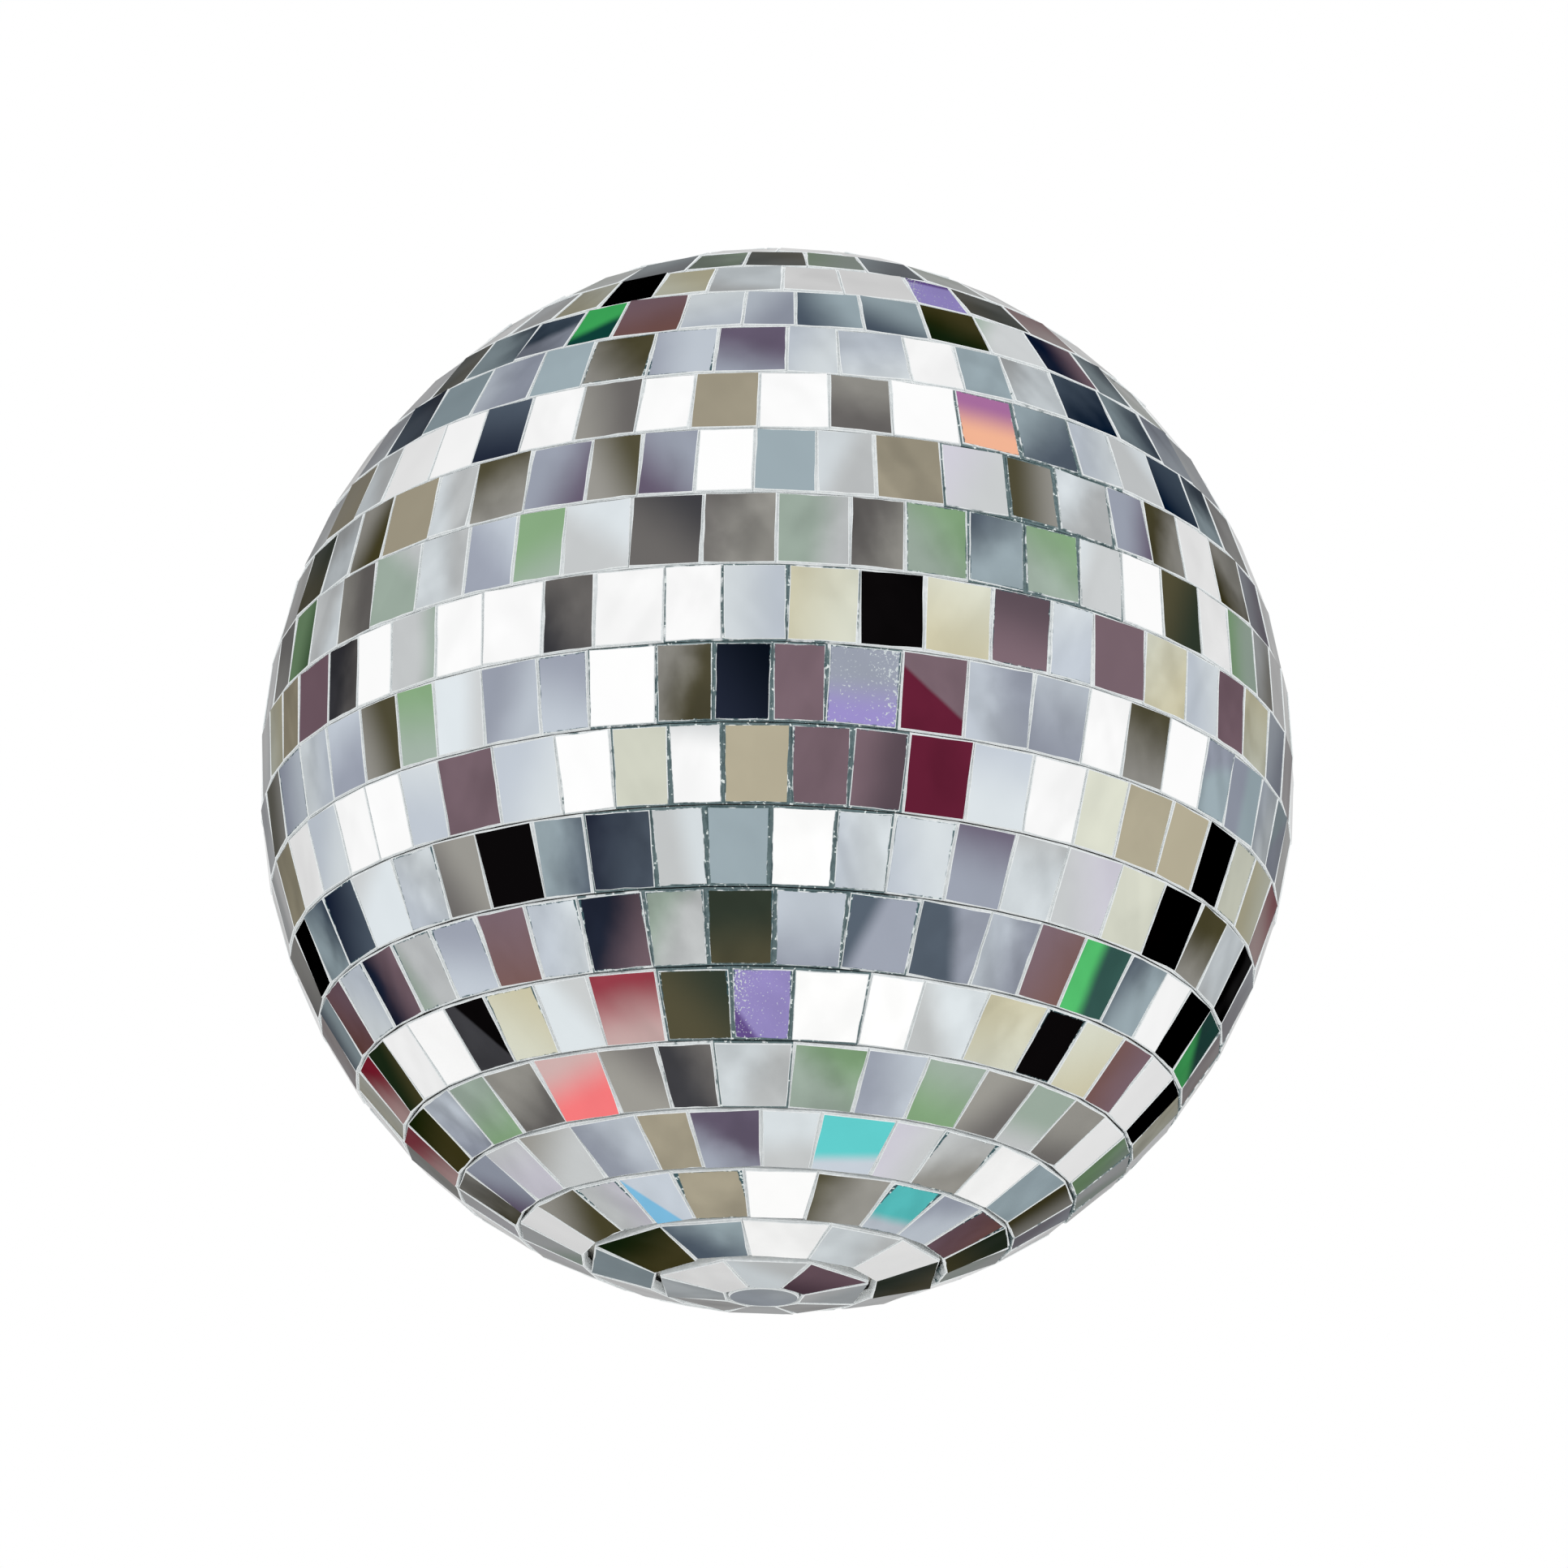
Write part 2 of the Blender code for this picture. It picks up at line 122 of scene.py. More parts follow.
# %% Helpers for building trees
class Value:
    """A node's output. A sum with it is written as a sum, and adds a Math node for each step."""

    def __init__(self, wiring, socket):
        self.wiring, self.socket = wiring, socket

    __add__ = __radd__ = lambda self, other: self.wiring.sum("ADD", self, other)
    __mul__ = __rmul__ = lambda self, other: self.wiring.sum("MULTIPLY", self, other)
    __sub__ = lambda self, other: self.wiring.sum("SUBTRACT", self, other)
    __rsub__ = lambda self, other: self.wiring.sum("SUBTRACT", other, self)
    __truediv__ = lambda self, other: self.wiring.sum("DIVIDE", self, other)


class Wiring:
    """Adds nodes to a tree and joins them up."""

    STEP = 180

    def __init__(self, tree):
        self.tree = tree

    def add(self, kind, joins=(), **settings):
        """A new node. joins pairs its inputs with values or with other nodes' outputs."""
        node = self.tree.nodes.new(kind)
        node.location.x = self.STEP * len(self.tree.nodes)
        for name, value in settings.items():
            setattr(node, name, value)
        for key, source in dict(joins).items():
            if isinstance(source, Value):
                self.tree.links.new(source.socket, node.inputs[key])
            else:
                node.inputs[key].default_value = source
        return node

    def out(self, kind, joins=(), output=0, **settings):
        """One output of a new node."""
        return Value(self, self.add(kind, joins, **settings).outputs[output])

    def outs(self, node):
        """All of a node's outputs, by name."""
        return {socket.name: Value(self, socket) for socket in node.outputs}

    def sum(self, operation, *values):
        return self.out("ShaderNodeMath", enumerate(values), operation=operation)

    def root(self, a, b):
        """The long side of a square corner with sides a and b."""
        return self.sum("SQRT", a * a + b * b)

    def between(self, a, b, share):
        """The value that lies that share of the way from a to b."""
        return a + (b - a) * share

    def parts(self, vector):
        node = self.add("ShaderNodeSeparateXYZ", {0: vector})
        return [Value(self, socket) for socket in node.outputs]

    def point(self, x, y, z):
        return self.out("ShaderNodeCombineXYZ", {0: x, 1: y, 2: z})

    def ramp(self, value, low, high):
        """0 below low, 1 above high, and a soft slope between."""
        joins = {"Value": value, "From Min": low, "From Max": high}
        return self.out("ShaderNodeMapRange", joins, interpolation_type="SMOOTHSTEP")

    def noise(self, vector, scale, detail=2.0, distortion=0.0):
        joins = {"Vector": vector, "Scale": scale, "Detail": detail, "Distortion": distortion}
        return self.out("ShaderNodeTexNoise", joins)

    def mix(self, share, first, second, blend="MIX"):
        joins = {0: share, 6: first, 7: second}
        return self.out("ShaderNodeMix", joins, 2, data_type="RGBA", blend_type=blend, clamp_factor=True)


def tree_with(name, kind, inputs, outputs):
    """An empty tree. An input is its label, its socket's kind and, for some, the value it starts with."""
    tree = bpy.data.node_groups.new(name, kind)
    for in_out, ends in (("INPUT", inputs), ("OUTPUT", outputs)):
        for label, socket_kind, *start in ends:
            socket = tree.interface.new_socket(label, in_out=in_out, socket_type="NodeSocket" + socket_kind)
            if start:
                socket.default_value = start[0]
    return tree


def paint(red, green, blue):
    """A colour as a painter mixes it, 0 to 255, turned into the linear numbers that a shader wants."""
    shares = [value / 255 for value in (red, green, blue)]
    return tuple(s / 12.92 if s <= 0.04045 else ((s + 0.055) / 1.055) ** 2.4 for s in shares) + (1.0,)


print("tree helpers ready")

# %% [markdown]
# ## Reading the rows
# In the CAD a row is one ring with a flat facet for each mirror. Its mesh gives the angles at which the
# mirrors meet, and the corners of the ring's section, of which the outer two are the lines that the
# mirrors' faces run between.


# %% Read a row's joints and section
SAME_JOINT = 0.002
SAME_CORNER = 0.00002


def gathered(values, within):
    """Sorts numbers and joins those that differ by less than that."""
    values = np.sort(values)
    starts = np.flatnonzero(np.diff(values) > within) + 1
    return [float(group.mean()) for group in np.split(values, starts)]


def read_row(node):
    points = np.array([v.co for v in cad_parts[node].data.vertices], float)
    radii = np.hypot(points[:, 0], points[:, 1])
    joints = gathered(np.arctan2(points[:, 1], points[:, 0]), SAME_JOINT)
    spans = list(zip(joints, joints[1:] + [joints[0] + math.tau]))
    corners = []
    for radius, height in zip(radii, points[:, 2]):
        if all(math.hypot(radius - r, height - z) > SAME_CORNER for r, z in corners):
            corners.append((float(radius), float(height)))
    corners.sort(key=lambda corner: math.hypot(corner[0], corner[1] - ball_centre_z))
    low, high = sorted(corners[-2:], key=lambda corner: corner[1])
    middles, halves = [(a + b) / 2 for a, b in spans], [(b - a) / 2 for a, b in spans]
    return {"middles": middles, "halves": halves, "low": low, "high": high}


rows = [read_row(node) for node in ROWS]
print("mirrors in each row:", [len(row["middles"]) for row in rows])

# %% [markdown]
# ## One mirror
# A mirror is a flat plate of glass with a narrow ground edge, the arris, and its share of the seam's
# adhesive round it. The cell below is a square of side 1, in five layers. Two attributes say how much of
# each real size moves a layer in from the cell's edge and down from the mirror's face, and the tree turns
# these shares into millimetres.

# %% The unit cell
SIDE_STEPS = 4
FACE, EDGE, BED = 0, 1, 2
# For each layer: in from the cell's edge by (half a seam, arris, parting), down by (arris, bed, thickness),
# and whether the layer moves with the loose glass.
LAYERS = (
    ((1, 1, 0), (0, 0, 0), 1.0),
    ((1, 0, 0), (1, 0, 0), 1.0),
    ((1, 0, 0), (0, 1, 0), 1.0),
    ((0, 0, 1), (0, 1, 0), 0.0),
    ((0, 0, 1), (0, 0, 1), 0.0),
)
ZONES = (EDGE, EDGE, BED, BED)
FIELDS = {"FLOAT_VECTOR": "vector", "FLOAT_COLOR": "color"}


def carry(mesh, name, kind, values, domain="POINT"):
    """Gives a mesh a named layer of values."""
    layer = mesh.attributes.new(name, kind, domain)
    layer.data.foreach_set(FIELDS.get(kind, "value"), np.ravel(values).tolist())


def cell_outline():
    corners = [(-0.5, -0.5), (0.5, -0.5), (0.5, 0.5), (-0.5, 0.5)]
    for start, end in zip(corners, corners[1:] + corners[:1]):
        for step in range(SIDE_STEPS):
            share = step / SIDE_STEPS
            yield tuple(a + (b - a) * share for a, b in zip(start, end))


def layered_faces(count):
    """The faces and zones of a closed body whose layers are loops of that many points, the face's first."""
    faces, zones = [tuple(range(count))], [FACE]
    for layer, zone in enumerate(ZONES):
        upper, lower = layer * count, (layer + 1) * count
        for step in range(count):
            after = (step + 1) % count
            faces.append((upper + step, lower + step, lower + after, upper + after))
            zones.append(zone)
    faces.append(tuple(reversed(range(len(ZONES) * count, len(LAYERS) * count))))
    return faces, zones + [BED]


def unit_cell():
    outline = list(cell_outline())
    faces, zones = layered_faces(len(outline))
    mesh = bpy.data.meshes.new("mirror_cell")
    mesh.from_pydata([(u, v, 0) for _ in LAYERS for u, v in outline], [], faces)
    for column, (name, kind) in enumerate(
        (("in_shares", "FLOAT_VECTOR"), ("down_shares", "FLOAT_VECTOR"), ("loose", "FLOAT"))
    ):
        carry(mesh, name, kind, [layer[column] for layer in LAYERS for _ in outline])
    carry(mesh, "zone", "INT", zones, "FACE")
    return mesh


cell = shown("mirror_cell", unit_cell())
print(f"one mirror has {len(cell.data.polygons)} faces")

# %% [markdown]
# ## The tree that lays a row
# A row starts as one point for each mirror, which carries the mirror's angle round the ball and half the
# angle that it spans. The tree puts a unit cell on every point, makes the copies real, and moves each
# vertex to its place: across by the chord, up along the row's slope, in by the seam and the arris, and down
# along the normal. Dice with a fixed seed turn and tilt each glass a little, and a noise nibbles its edges.

# %% Build the tree
ROW_NUMBERS = "Low radius, Low height, High radius, High height, Ball radius, Half seam, Arris, Parting, Bed depth, "
ROW_NUMBERS += "Thickness, Tilt, Turn, Nibble"
ZONE_LABELS = ("Face", "Edge", "Bed")
GEOMETRY = ("Geometry", "Geometry")
ROW_INPUTS = [GEOMETRY, ("Cell", "Object"), ("Seed", "Int")]
ROW_INPUTS += [(label, "Float") for label in ROW_NUMBERS.split(", ")]
ROW_INPUTS += [(label, "Material") for label in ZONE_LABELS]
NUMBER_STEP, SEED_STEP = 1.37, 0.71


def named(w, name, kind="FLOAT"):
    return w.out("GeometryNodeInputNamedAttribute", {"Name": name}, "Attribute", data_type=kind)


def kept(w, geometry, name, kind, value):
    joins = {"Geometry": geometry, "Name": name, "Value": value}
    return w.out("GeometryNodeStoreNamedAttribute", joins, data_type=kind, domain="POINT")


def dot(w, shares, *sizes):
    joins = {0: named(w, shares, "FLOAT_VECTOR"), 1: w.point(*sizes)}
    return w.out("ShaderNodeVectorMath", joins, "Value", operation="DOT_PRODUCT")


def copies(w, points, part, **turns):
    """A real copy of the part on every point."""
    source = w.out("GeometryNodeObjectInfo", {"Object": part}, "Geometry")
    copied = w.out("GeometryNodeInstanceOnPoints", {"Points": points, "Instance": source} | turns)
    return w.out("GeometryNodeRealizeInstances", {"Geometry": copied})


def coated(w, geometry, material, selection=True):
    joins = {"Geometry": geometry, "Selection": selection, "Material": material}
    return w.out("GeometryNodeSetMaterial", joins)


def row_tree():
    w = Wiring(tree_with("row_of_mirrors", "GeometryNodeTree", ROW_INPUTS, [GEOMETRY]))
    size = w.outs(w.add("NodeGroupInput"))

    # A cell on every point, made real, each with its mirror's number.
    points = kept(w, size["Geometry"], "mirror_number", "INT", w.out("GeometryNodeInputIndex"))
    cells = copies(w, points, size["Cell"])

    # What each vertex knows about itself and its mirror.
    across, up, _ = w.parts(w.out("GeometryNodeInputPosition"))
    middle, half, loose = named(w, "middle_turn"), named(w, "half_turn"), named(w, "loose")
    number = named(w, "mirror_number", "INT")
    joins = {0: (-1, -1, -1), "ID": number, "Seed": size["Seed"]}
    throw_x, throw_y, throw_turn = w.parts(w.out("FunctionNodeRandomValue", joins, data_type="FLOAT_VECTOR"))

    # How far in and down, with nibbled edges on the glass.
    nibble_at = w.point(across, up, number * NUMBER_STEP + size["Seed"] * SEED_STEP)
    nibble = w.ramp(w.noise(nibble_at, 4.2), 0.42, 0.75) * size["Nibble"] * loose
    inset = dot(w, "in_shares", size["Half seam"], size["Arris"], size["Parting"])
    inset = inset + nibble + named(w, "shyness") * loose
    depth = dot(w, "down_shares", size["Arris"], size["Bed depth"], size["Thickness"])
    shrink = 1.0 - depth / size["Ball radius"]

    # The flat facet: its slope, its length up the row and its chord across.
    radii, heights = (size["Low radius"], size["High radius"]), (size["Low height"], size["High height"])
    sine_half, cosine_half = w.sum("SINE", half), w.sum("COSINE", half)
    rise, spread = heights[1] - heights[0], (radii[1] - radii[0]) * cosine_half
    length = w.root(rise, spread)
    flat_y = up * (length * shrink - inset * 2.0)
    chord = w.between(*radii, flat_y / length + 0.5) * shrink * sine_half * 2.0
    flat_x = across * (chord - inset * 2.0)

    # The loose glass turns in its seam and tilts on its adhesive.
    turn = throw_turn * size["Turn"] * loose
    turned_x, turned_y = flat_x - flat_y * turn, flat_y + flat_x * turn
    depth = depth - (throw_x * turned_x + throw_y * turned_y) * size["Tilt"] * loose

    # From the facet's own plane to its place on the ball.
    share = turned_y / length + 0.5
    out = w.between(*radii, share) * cosine_half - depth * (rise / length)
    height = w.between(*heights, share) + depth * (spread / length)
    sine, cosine = w.sum("SINE", middle), w.sum("COSINE", middle)
    position = w.point(out * cosine - turned_x * sine, out * sine + turned_x * cosine, height)

    # The place on the mirror's face, from -0.5 to 0.5 each way, for the silvering's pattern.
    width = w.between(*radii, 0.5) * sine_half * 2.0
    place = w.point(turned_x / width, turned_y / length, number * NUMBER_STEP + size["Seed"])
    geometry = kept(w, cells, "mirror_place", "FLOAT_VECTOR", place)
    geometry = w.out("GeometryNodeSetPosition", {"Geometry": geometry, "Position": position})
    for zone, label in enumerate(ZONE_LABELS):
        joins = {2: named(w, "zone", "INT"), 3: zone}
        same = w.out("FunctionNodeCompare", joins, data_type="INT", operation="EQUAL")
        geometry = coated(w, geometry, size[label], same)
    w.add("NodeGroupOutput", {"Geometry": geometry})
    return w.tree


rows_tree = row_tree()
print(f"the row tree has {len(rows_tree.nodes)} nodes")


# %% Run a tree and keep its result as a plain mesh
def made_mesh(obj):
    """What an object's modifiers or bevel make, as a plain mesh."""
    graph = bpy.context.evaluated_depsgraph_get()
    return bpy.data.meshes.new_from_object(obj.evaluated_get(graph), preserve_all_data_layers=True,
                                           depsgraph=graph)


def plain(obj):
    mesh = made_mesh(obj)
    obj.modifiers.clear()
    obj.data = mesh
    mesh.name = obj.name
    return obj


def grow(obj, tree, values):
    modifier = obj.modifiers.new(tree.name, "NODES")
    modifier.node_group = tree
    for item in tree.interface.items_tree:
        if item.name in values:
            modifier[item.identifier] = values[item.name]
    return plain(obj)


# %% [markdown]
# ## Finishes
# Three effects are shared, so each is a node group. Cloud is the uneven, milky look of old silvering,
# plastic and adhesive; on the mirrors it also mottles the painted reflections. Lathe lines are the fine rings
# that a tool leaves on a turned part. Handling is the dull finger marks and wiped streaks that every polished
# metal gets.


# %% Shared shader groups
PLACE = ("Place", "Vector")


def group_with(name, inputs, outputs):
    """A new group's wiring, and what is handed to it."""
    w = Wiring(tree_with(name, "ShaderNodeTree", inputs, [(label, "Float") for label in outputs]))
    return w, w.outs(w.add("NodeGroupInput"))


def cloud_group():
    """A soft mask from 0 to 1: broad blotches with finer ones inside."""
    w, given = group_with("cloud", [PLACE, ("Scale", "Float", 2.0)], ["Cloud"])
    broad = w.noise(given["Place"], given["Scale"], 1.0, 0.4)
    fine = w.noise(given["Place"], given["Scale"] * 4.0, 2.0, 0.2)
    w.add("NodeGroupOutput", {"Cloud": w.ramp(broad * 0.85 + fine * 0.15, 0.3, 0.7)})
    return w.tree


def lathe_group():
    """Heights of fine rings round the Z axis, uneven like a tool's marks."""
    inputs = [PLACE, ("Pitch", "Float", 0.0003), ("Unevenness", "Float", 0.5)]
    w, given = group_with("lathe_lines", inputs, ["Height"])
    x, y, z = w.parts(given["Place"])
    along = (w.root(x, y) + z) / given["Pitch"]
    ridges = w.sum("SINE", along * math.tau) * 0.25 + 0.5
    uneven = w.noise(w.point(along, 0.0, 0.0), 0.9, 3.0)
    w.add("NodeGroupOutput", {"Height": w.between(ridges, uneven, given["Unevenness"])})
    return w.tree


def handling_group():
    """Smears where fingers dulled a surface, and streaks where it was wiped."""
    w, given = group_with("handling", [PLACE, ("Scale", "Float", 200.0)], ["Dull", "Streak"])
    dull = w.ramp(w.noise(given["Place"], given["Scale"], 4.0, 0.8), 0.45, 0.7)
    x, y, z = w.parts(given["Place"])
    streak = w.ramp(w.noise(w.point(x * 8.0, y, z * 0.6), given["Scale"] * 3.0, 3.0), 0.52, 0.75)
    w.add("NodeGroupOutput", {"Dull": dull, "Streak": streak})
    return w.tree


CLOUD, LATHE, HANDLING = cloud_group(), lathe_group(), handling_group()
print("shared effects:", CLOUD.name, LATHE.name, HANDLING.name)


# %% A helper for the finishes
class Finish(Wiring):
    """A material and its tree. The constants are set on its Principled shader."""

    def __init__(self, name, **constants):
        self.material = bpy.data.materials.new(name)
        self.material.use_nodes = True
        super().__init__(self.material.node_tree)
        self.shader = self.tree.nodes["Principled BSDF"]
        for label, value in constants.items():
            self.shader.inputs[label.replace("_", " ").title()].default_value = value
        self.here = self.out("ShaderNodeTexCoord", output="Object")

    def shared(self, group, place=None, **values):
        """A shared group's outputs, at the surface's own place or another."""
        joins = {"Place": place or self.here} | {label.title(): value for label, value in values.items()}
        return self.outs(self.add("ShaderNodeGroup", joins, node_tree=group))

    def attribute(self, name, output="Vector"):
        return self.out("ShaderNodeAttribute", output=output, attribute_name=name)

    def surface(self, tone, roughness, height, depth, strength=1.0):
        """Joins the colour, the roughness and a bump of that depth to the shader."""
        bump = self.out("ShaderNodeBump", {"Height": height, "Distance": depth, "Strength": strength})
        for label, source in (("Base Color", tone), ("Roughness", roughness), ("Normal", bump)):
            self.tree.links.new(source.socket, self.shader.inputs[label])
        return self.material


# %% [markdown]
# ## Silvered glass with painted reflections
# Every mirror on a ball shows another corner of the room: a white wall, a dark doorway, a coloured lamp. A
# plain studio has none of these, so each mirror's base colour is a painted reflection of what it would show,
# in two tones with a sweep between them that can be soft or as hard as a fold. The shader adds the milky
# clouding of old silvering mixed with painted reflected streaks and mottling, the specks where silver was
# lost, and the dark rim where the glass edge shows through.


# %% The mirrors' faces
GLINT = 0.36


def silvered_glass():
    w = Finish("silvered_glass", metallic=1.0, specular_tint=(GLINT, GLINT, GLINT, 1))
    # The base colour is painted reflection: two tones for each mirror and a sweep between them.
    place = w.attribute("mirror_place")
    x, y, number = w.parts(place)
    along_x, along_y, start = w.parts(w.attribute("sweep"))
    clouding_and_reflection, flaw, rim = w.parts(w.attribute("wear"))
    cloud = w.shared(CLOUD, place, scale=1.3)["Cloud"]
    line = along_x * x + along_y * y + (start + (cloud - 0.5) * (clouding_and_reflection * 0.35))
    tone = w.mix(w.ramp(line, 0.0, 1.0), w.attribute("tone_a", "Color"), w.attribute("tone_b", "Color"))

    # Cloudy patches and slanting streaks darken the tones, stronger on mirrors with more clouding: the
    # cloud is partly milky old silvering and partly painted reflection, and the streaks are painted reflection.
    lean = x * w.sum("SIGN", start - 0.5) + y * 0.6
    streak = w.ramp(w.noise(w.point(lean * 1.7, y * 0.5, number), 1.0, 1.0), 0.35, 0.65)
    cloud_and_reflection_dimming = 1.0 - ((1.0 - cloud) * 0.3 + (1.0 - streak) * 0.2) * clouding_and_reflection
    tone = w.mix(1.0, tone, w.point(cloud_and_reflection_dimming, cloud_and_reflection_dimming, cloud_and_reflection_dimming), "MULTIPLY")

    # Specks where the silver came away, thickest towards one side.
    side = w.ramp(x * w.sum("SIGN", start) + y * 0.35, 0.05, 0.6)
    specks = w.ramp(w.noise(place, 30.0, 3.0, 0.4) + side * 0.12, 0.64, 0.70) * flaw
    tone = w.mix(specks, tone, paint(206, 214, 216))

    # The rim: glass edge seen through the face, broken by bright chips.
    from_edge = 0.5 - w.sum("MAXIMUM", w.sum("ABSOLUTE", x), w.sum("ABSOLUTE", y) * 0.985)
    ragged = from_edge + (w.noise(place, 9.0, 3.0) - 0.5) * 0.05
    chips = w.ramp(w.noise(place, 15.0, 2.0), 0.55, 0.6)
    rim_tone = w.mix(chips, paint(66, 92, 98), paint(214, 224, 224))
    tone = w.mix((1.0 - w.ramp(ragged, 0.028, 0.05)) * rim, tone, rim_tone)

    smear = w.shared(HANDLING, scale=60.0)["Dull"]
    waves = w.noise(w.here, 90.0, 1.0) + specks * 0.03
    return w.surface(tone, smear * 0.05 + specks * 0.3 + 0.035, waves, 0.00015)


# %% [markdown]
# The ground edge of the glass is white where it is freshly chipped and deep green-blue where one looks into
# the glass. The seams are filled with a pale adhesive, which in places has aged dark. Both read how aged
# their patch is.


# %% The edges and the seams
THREADS_PER_METRE = 14000.0


def aged_white(w, reach):
    """Silver-white, with dark glassy lengths and bright chips as far as the mirror's age reaches."""
    age = w.parts(w.attribute("patch"))[0]
    dark = w.ramp(w.noise(w.here, 620.0, 3.0, 0.5) * 0.6 + age * reach, 0.55, 0.65)
    grime = w.noise(w.here, 1900.0, 2.0)
    pale = w.mix(grime, paint(206, 212, 214), paint(240, 242, 242))
    deep = w.mix(grime, paint(52, 78, 84), paint(108, 130, 132))
    chips = w.ramp(w.noise(w.here, 1700.0, 2.0), 0.62, 0.68)
    return w.mix(dark, pale, w.mix(chips, deep, paint(232, 240, 238)))


def cut_glass_edge():
    w = Finish("cut_glass_edge", metallic=0.0, coat_weight=0.4)
    roughness = w.between(0.22, 0.5, w.shared(CLOUD, scale=900.0)["Cloud"])
    return w.surface(aged_white(w, 0.36), roughness, w.noise(w.here, 2400.0, 2.0), 0.00008, 0.6)


def seam_bed():
    w = Finish("seam_bed", metallic=0.0, coat_weight=0.15)
    roughness = w.between(0.35, 0.65, w.shared(CLOUD, scale=500.0)["Cloud"])
    x, y, z = w.parts(w.here)
    weave = w.sum("SINE", z * THREADS_PER_METRE) + w.sum("SINE", (x + y) * THREADS_PER_METRE)
    return w.surface(aged_white(w, 0.8), roughness, weave * 0.12 + w.noise(w.here, 1500.0, 3.0), 0.00006, 0.7)


PAINTED_REFLECTION_GLASS, CUT_EDGE, SEAM_BED = silvered_glass(), cut_glass_edge(), seam_bed()
print("mirror finishes:", PAINTED_REFLECTION_GLASS.name, CUT_EDGE.name, SEAM_BED.name)

# %% [markdown]
# ## Laying the rows
# Neighbouring rows leave a gap in the CAD, and each cell reaches half-way across it, so that these seams
# are full of adhesive too. Patches of the ball have aged: there the mirrors have chipped and shrunk back
# from each other, their seams are dark and their rims show.

# %% Where the ball has aged
FRONT = -90.0
AGED_SEAM = 0.00011
# Each patch: its middle's row, its middle's degrees to the right of the front, and how many rows and
# degrees it fades out over.
AGED_PATCHES = ((8.0, -3, 4.2, 22), (13.0, 28, 2.4, 14), (6.0, 95, 4, 22), (13.0, 160, 4, 26),
                (8.0, -120, 4, 24))


def off_by(turn, degrees):
    """How far a turn is from one that is given in degrees to the right of the front."""
    return abs(math.remainder(turn - math.radians(FRONT + degrees), math.tau))


def age_at(number, middle):
    """From 0, new, to 1, by the mirror's row and its angle round."""
    age = 0.0
    for row, degrees, rows_wide, degrees_wide in AGED_PATCHES:
        distance = math.hypot((number - row) / rows_wide, math.degrees(off_by(middle, degrees)) / degrees_wide)
        age = max(age, 1.0 - distance**2)
    return age


print(f"{len(AGED_PATCHES)} aged patches")

# %% Lay every row
ROW_REACH = 0.00025
MIRROR_SIZES = {
    "Half seam": 0.00013,
    "Arris": 0.0001,
    "Parting": 0.00001,
    "Bed depth": 0.00028,
    "Thickness": 0.0015,
    "Tilt": math.radians(1.4),
    "Turn": math.radians(1.4),
    "Nibble": 0.00016,
}


def reached(low, high):
    """The row's outer corners, each moved out along the row's slope by the reach."""
    length = math.hypot(high[0] - low[0], high[1] - low[1])
    step = [(b - a) / length * ROW_REACH for a, b in zip(low, high)]
    return [a - s for a, s in zip(low, step)], [b + s for b, s in zip(high, step)]


def lay_row(number, row):
    name = f"mirror_row_{number:02d}"
    mesh = bpy.data.meshes.new(name)
    mesh.from_pydata([(0, 0, 0)] * len(row["middles"]), [], [])
    carry(mesh, "middle_turn", "FLOAT", row["middles"])
    carry(mesh, "half_turn", "FLOAT", row["halves"])
    carry(mesh, "shyness", "FLOAT", [AGED_SEAM * age_at(number, middle) for middle in row["middles"]])
    low, high = reached(row["low"], row["high"])
    values = {"Cell": cell, "Ball radius": ball_radius, "Seed": number}
    values |= {"Low radius": low[0], "Low height": low[1], "High radius": high[0], "High height": high[1]}
    values |= {"Face": PAINTED_REFLECTION_GLASS, "Edge": CUT_EDGE, "Bed": SEAM_BED}
    return grow(shown(name, mesh), rows_tree, values | MIRROR_SIZES)


laid = [lay_row(number, row) for number, row in enumerate(rows, 1)]
bpy.data.objects.remove(cell)
print("faces in the rows:", sum(len(obj.data.polygons) for obj in laid))

# %% [markdown]
# ## Choosing what each mirror shows
# The tones are mixed as on a palette, and a look is two tones and the way that one turns into the other.
# Mirrors in one row see the same part of the room: one row faces the lamps and is nearly all white, the
# next is full of shaded greys and greens. Each row therefore draws its looks from its own short mix.

# %% The palette
PAINTS = dict(
    white=(255, 255, 255), ivory=(222, 224, 208), silver=(202, 205, 206), pearl=(222, 229, 233),
    frost=(198, 206, 216), lavender=(210, 208, 219), dusk=(158, 164, 178), steel=(164, 180, 187),
    slate=(88, 99, 112), navy=(36, 42, 58), ink=(10, 16, 26), charcoal=(66, 66, 70), black=(12, 10, 11),
    smoke=(110, 107, 105), stone=(156, 154, 148), sage=(164, 180, 168), leaf=(136, 170, 130),
    moss=(88, 116, 86), olive=(84, 80, 60), pine=(52, 60, 50), khaki=(170, 162, 142), sand=(208, 202, 172),
    tan=(188, 180, 156), mauve=(126, 105, 114), plum=(92, 78, 86), heather=(104, 94, 114),
    brown=(124, 92, 86), crimson=(104, 34, 56), violet=(160, 148, 208), grape=(106, 84, 146),
    red=(152, 64, 76), blush=(206, 176, 174), coral=(242, 122, 124), aqua=(98, 204, 204),
    sky=(128, 190, 226), flash=(86, 192, 112), pool=(54, 88, 82), peach=(248, 186, 154),
    orchid=(172, 114, 162),
)
TONES = {name: paint(*parts) for name, parts in PAINTS.items()}

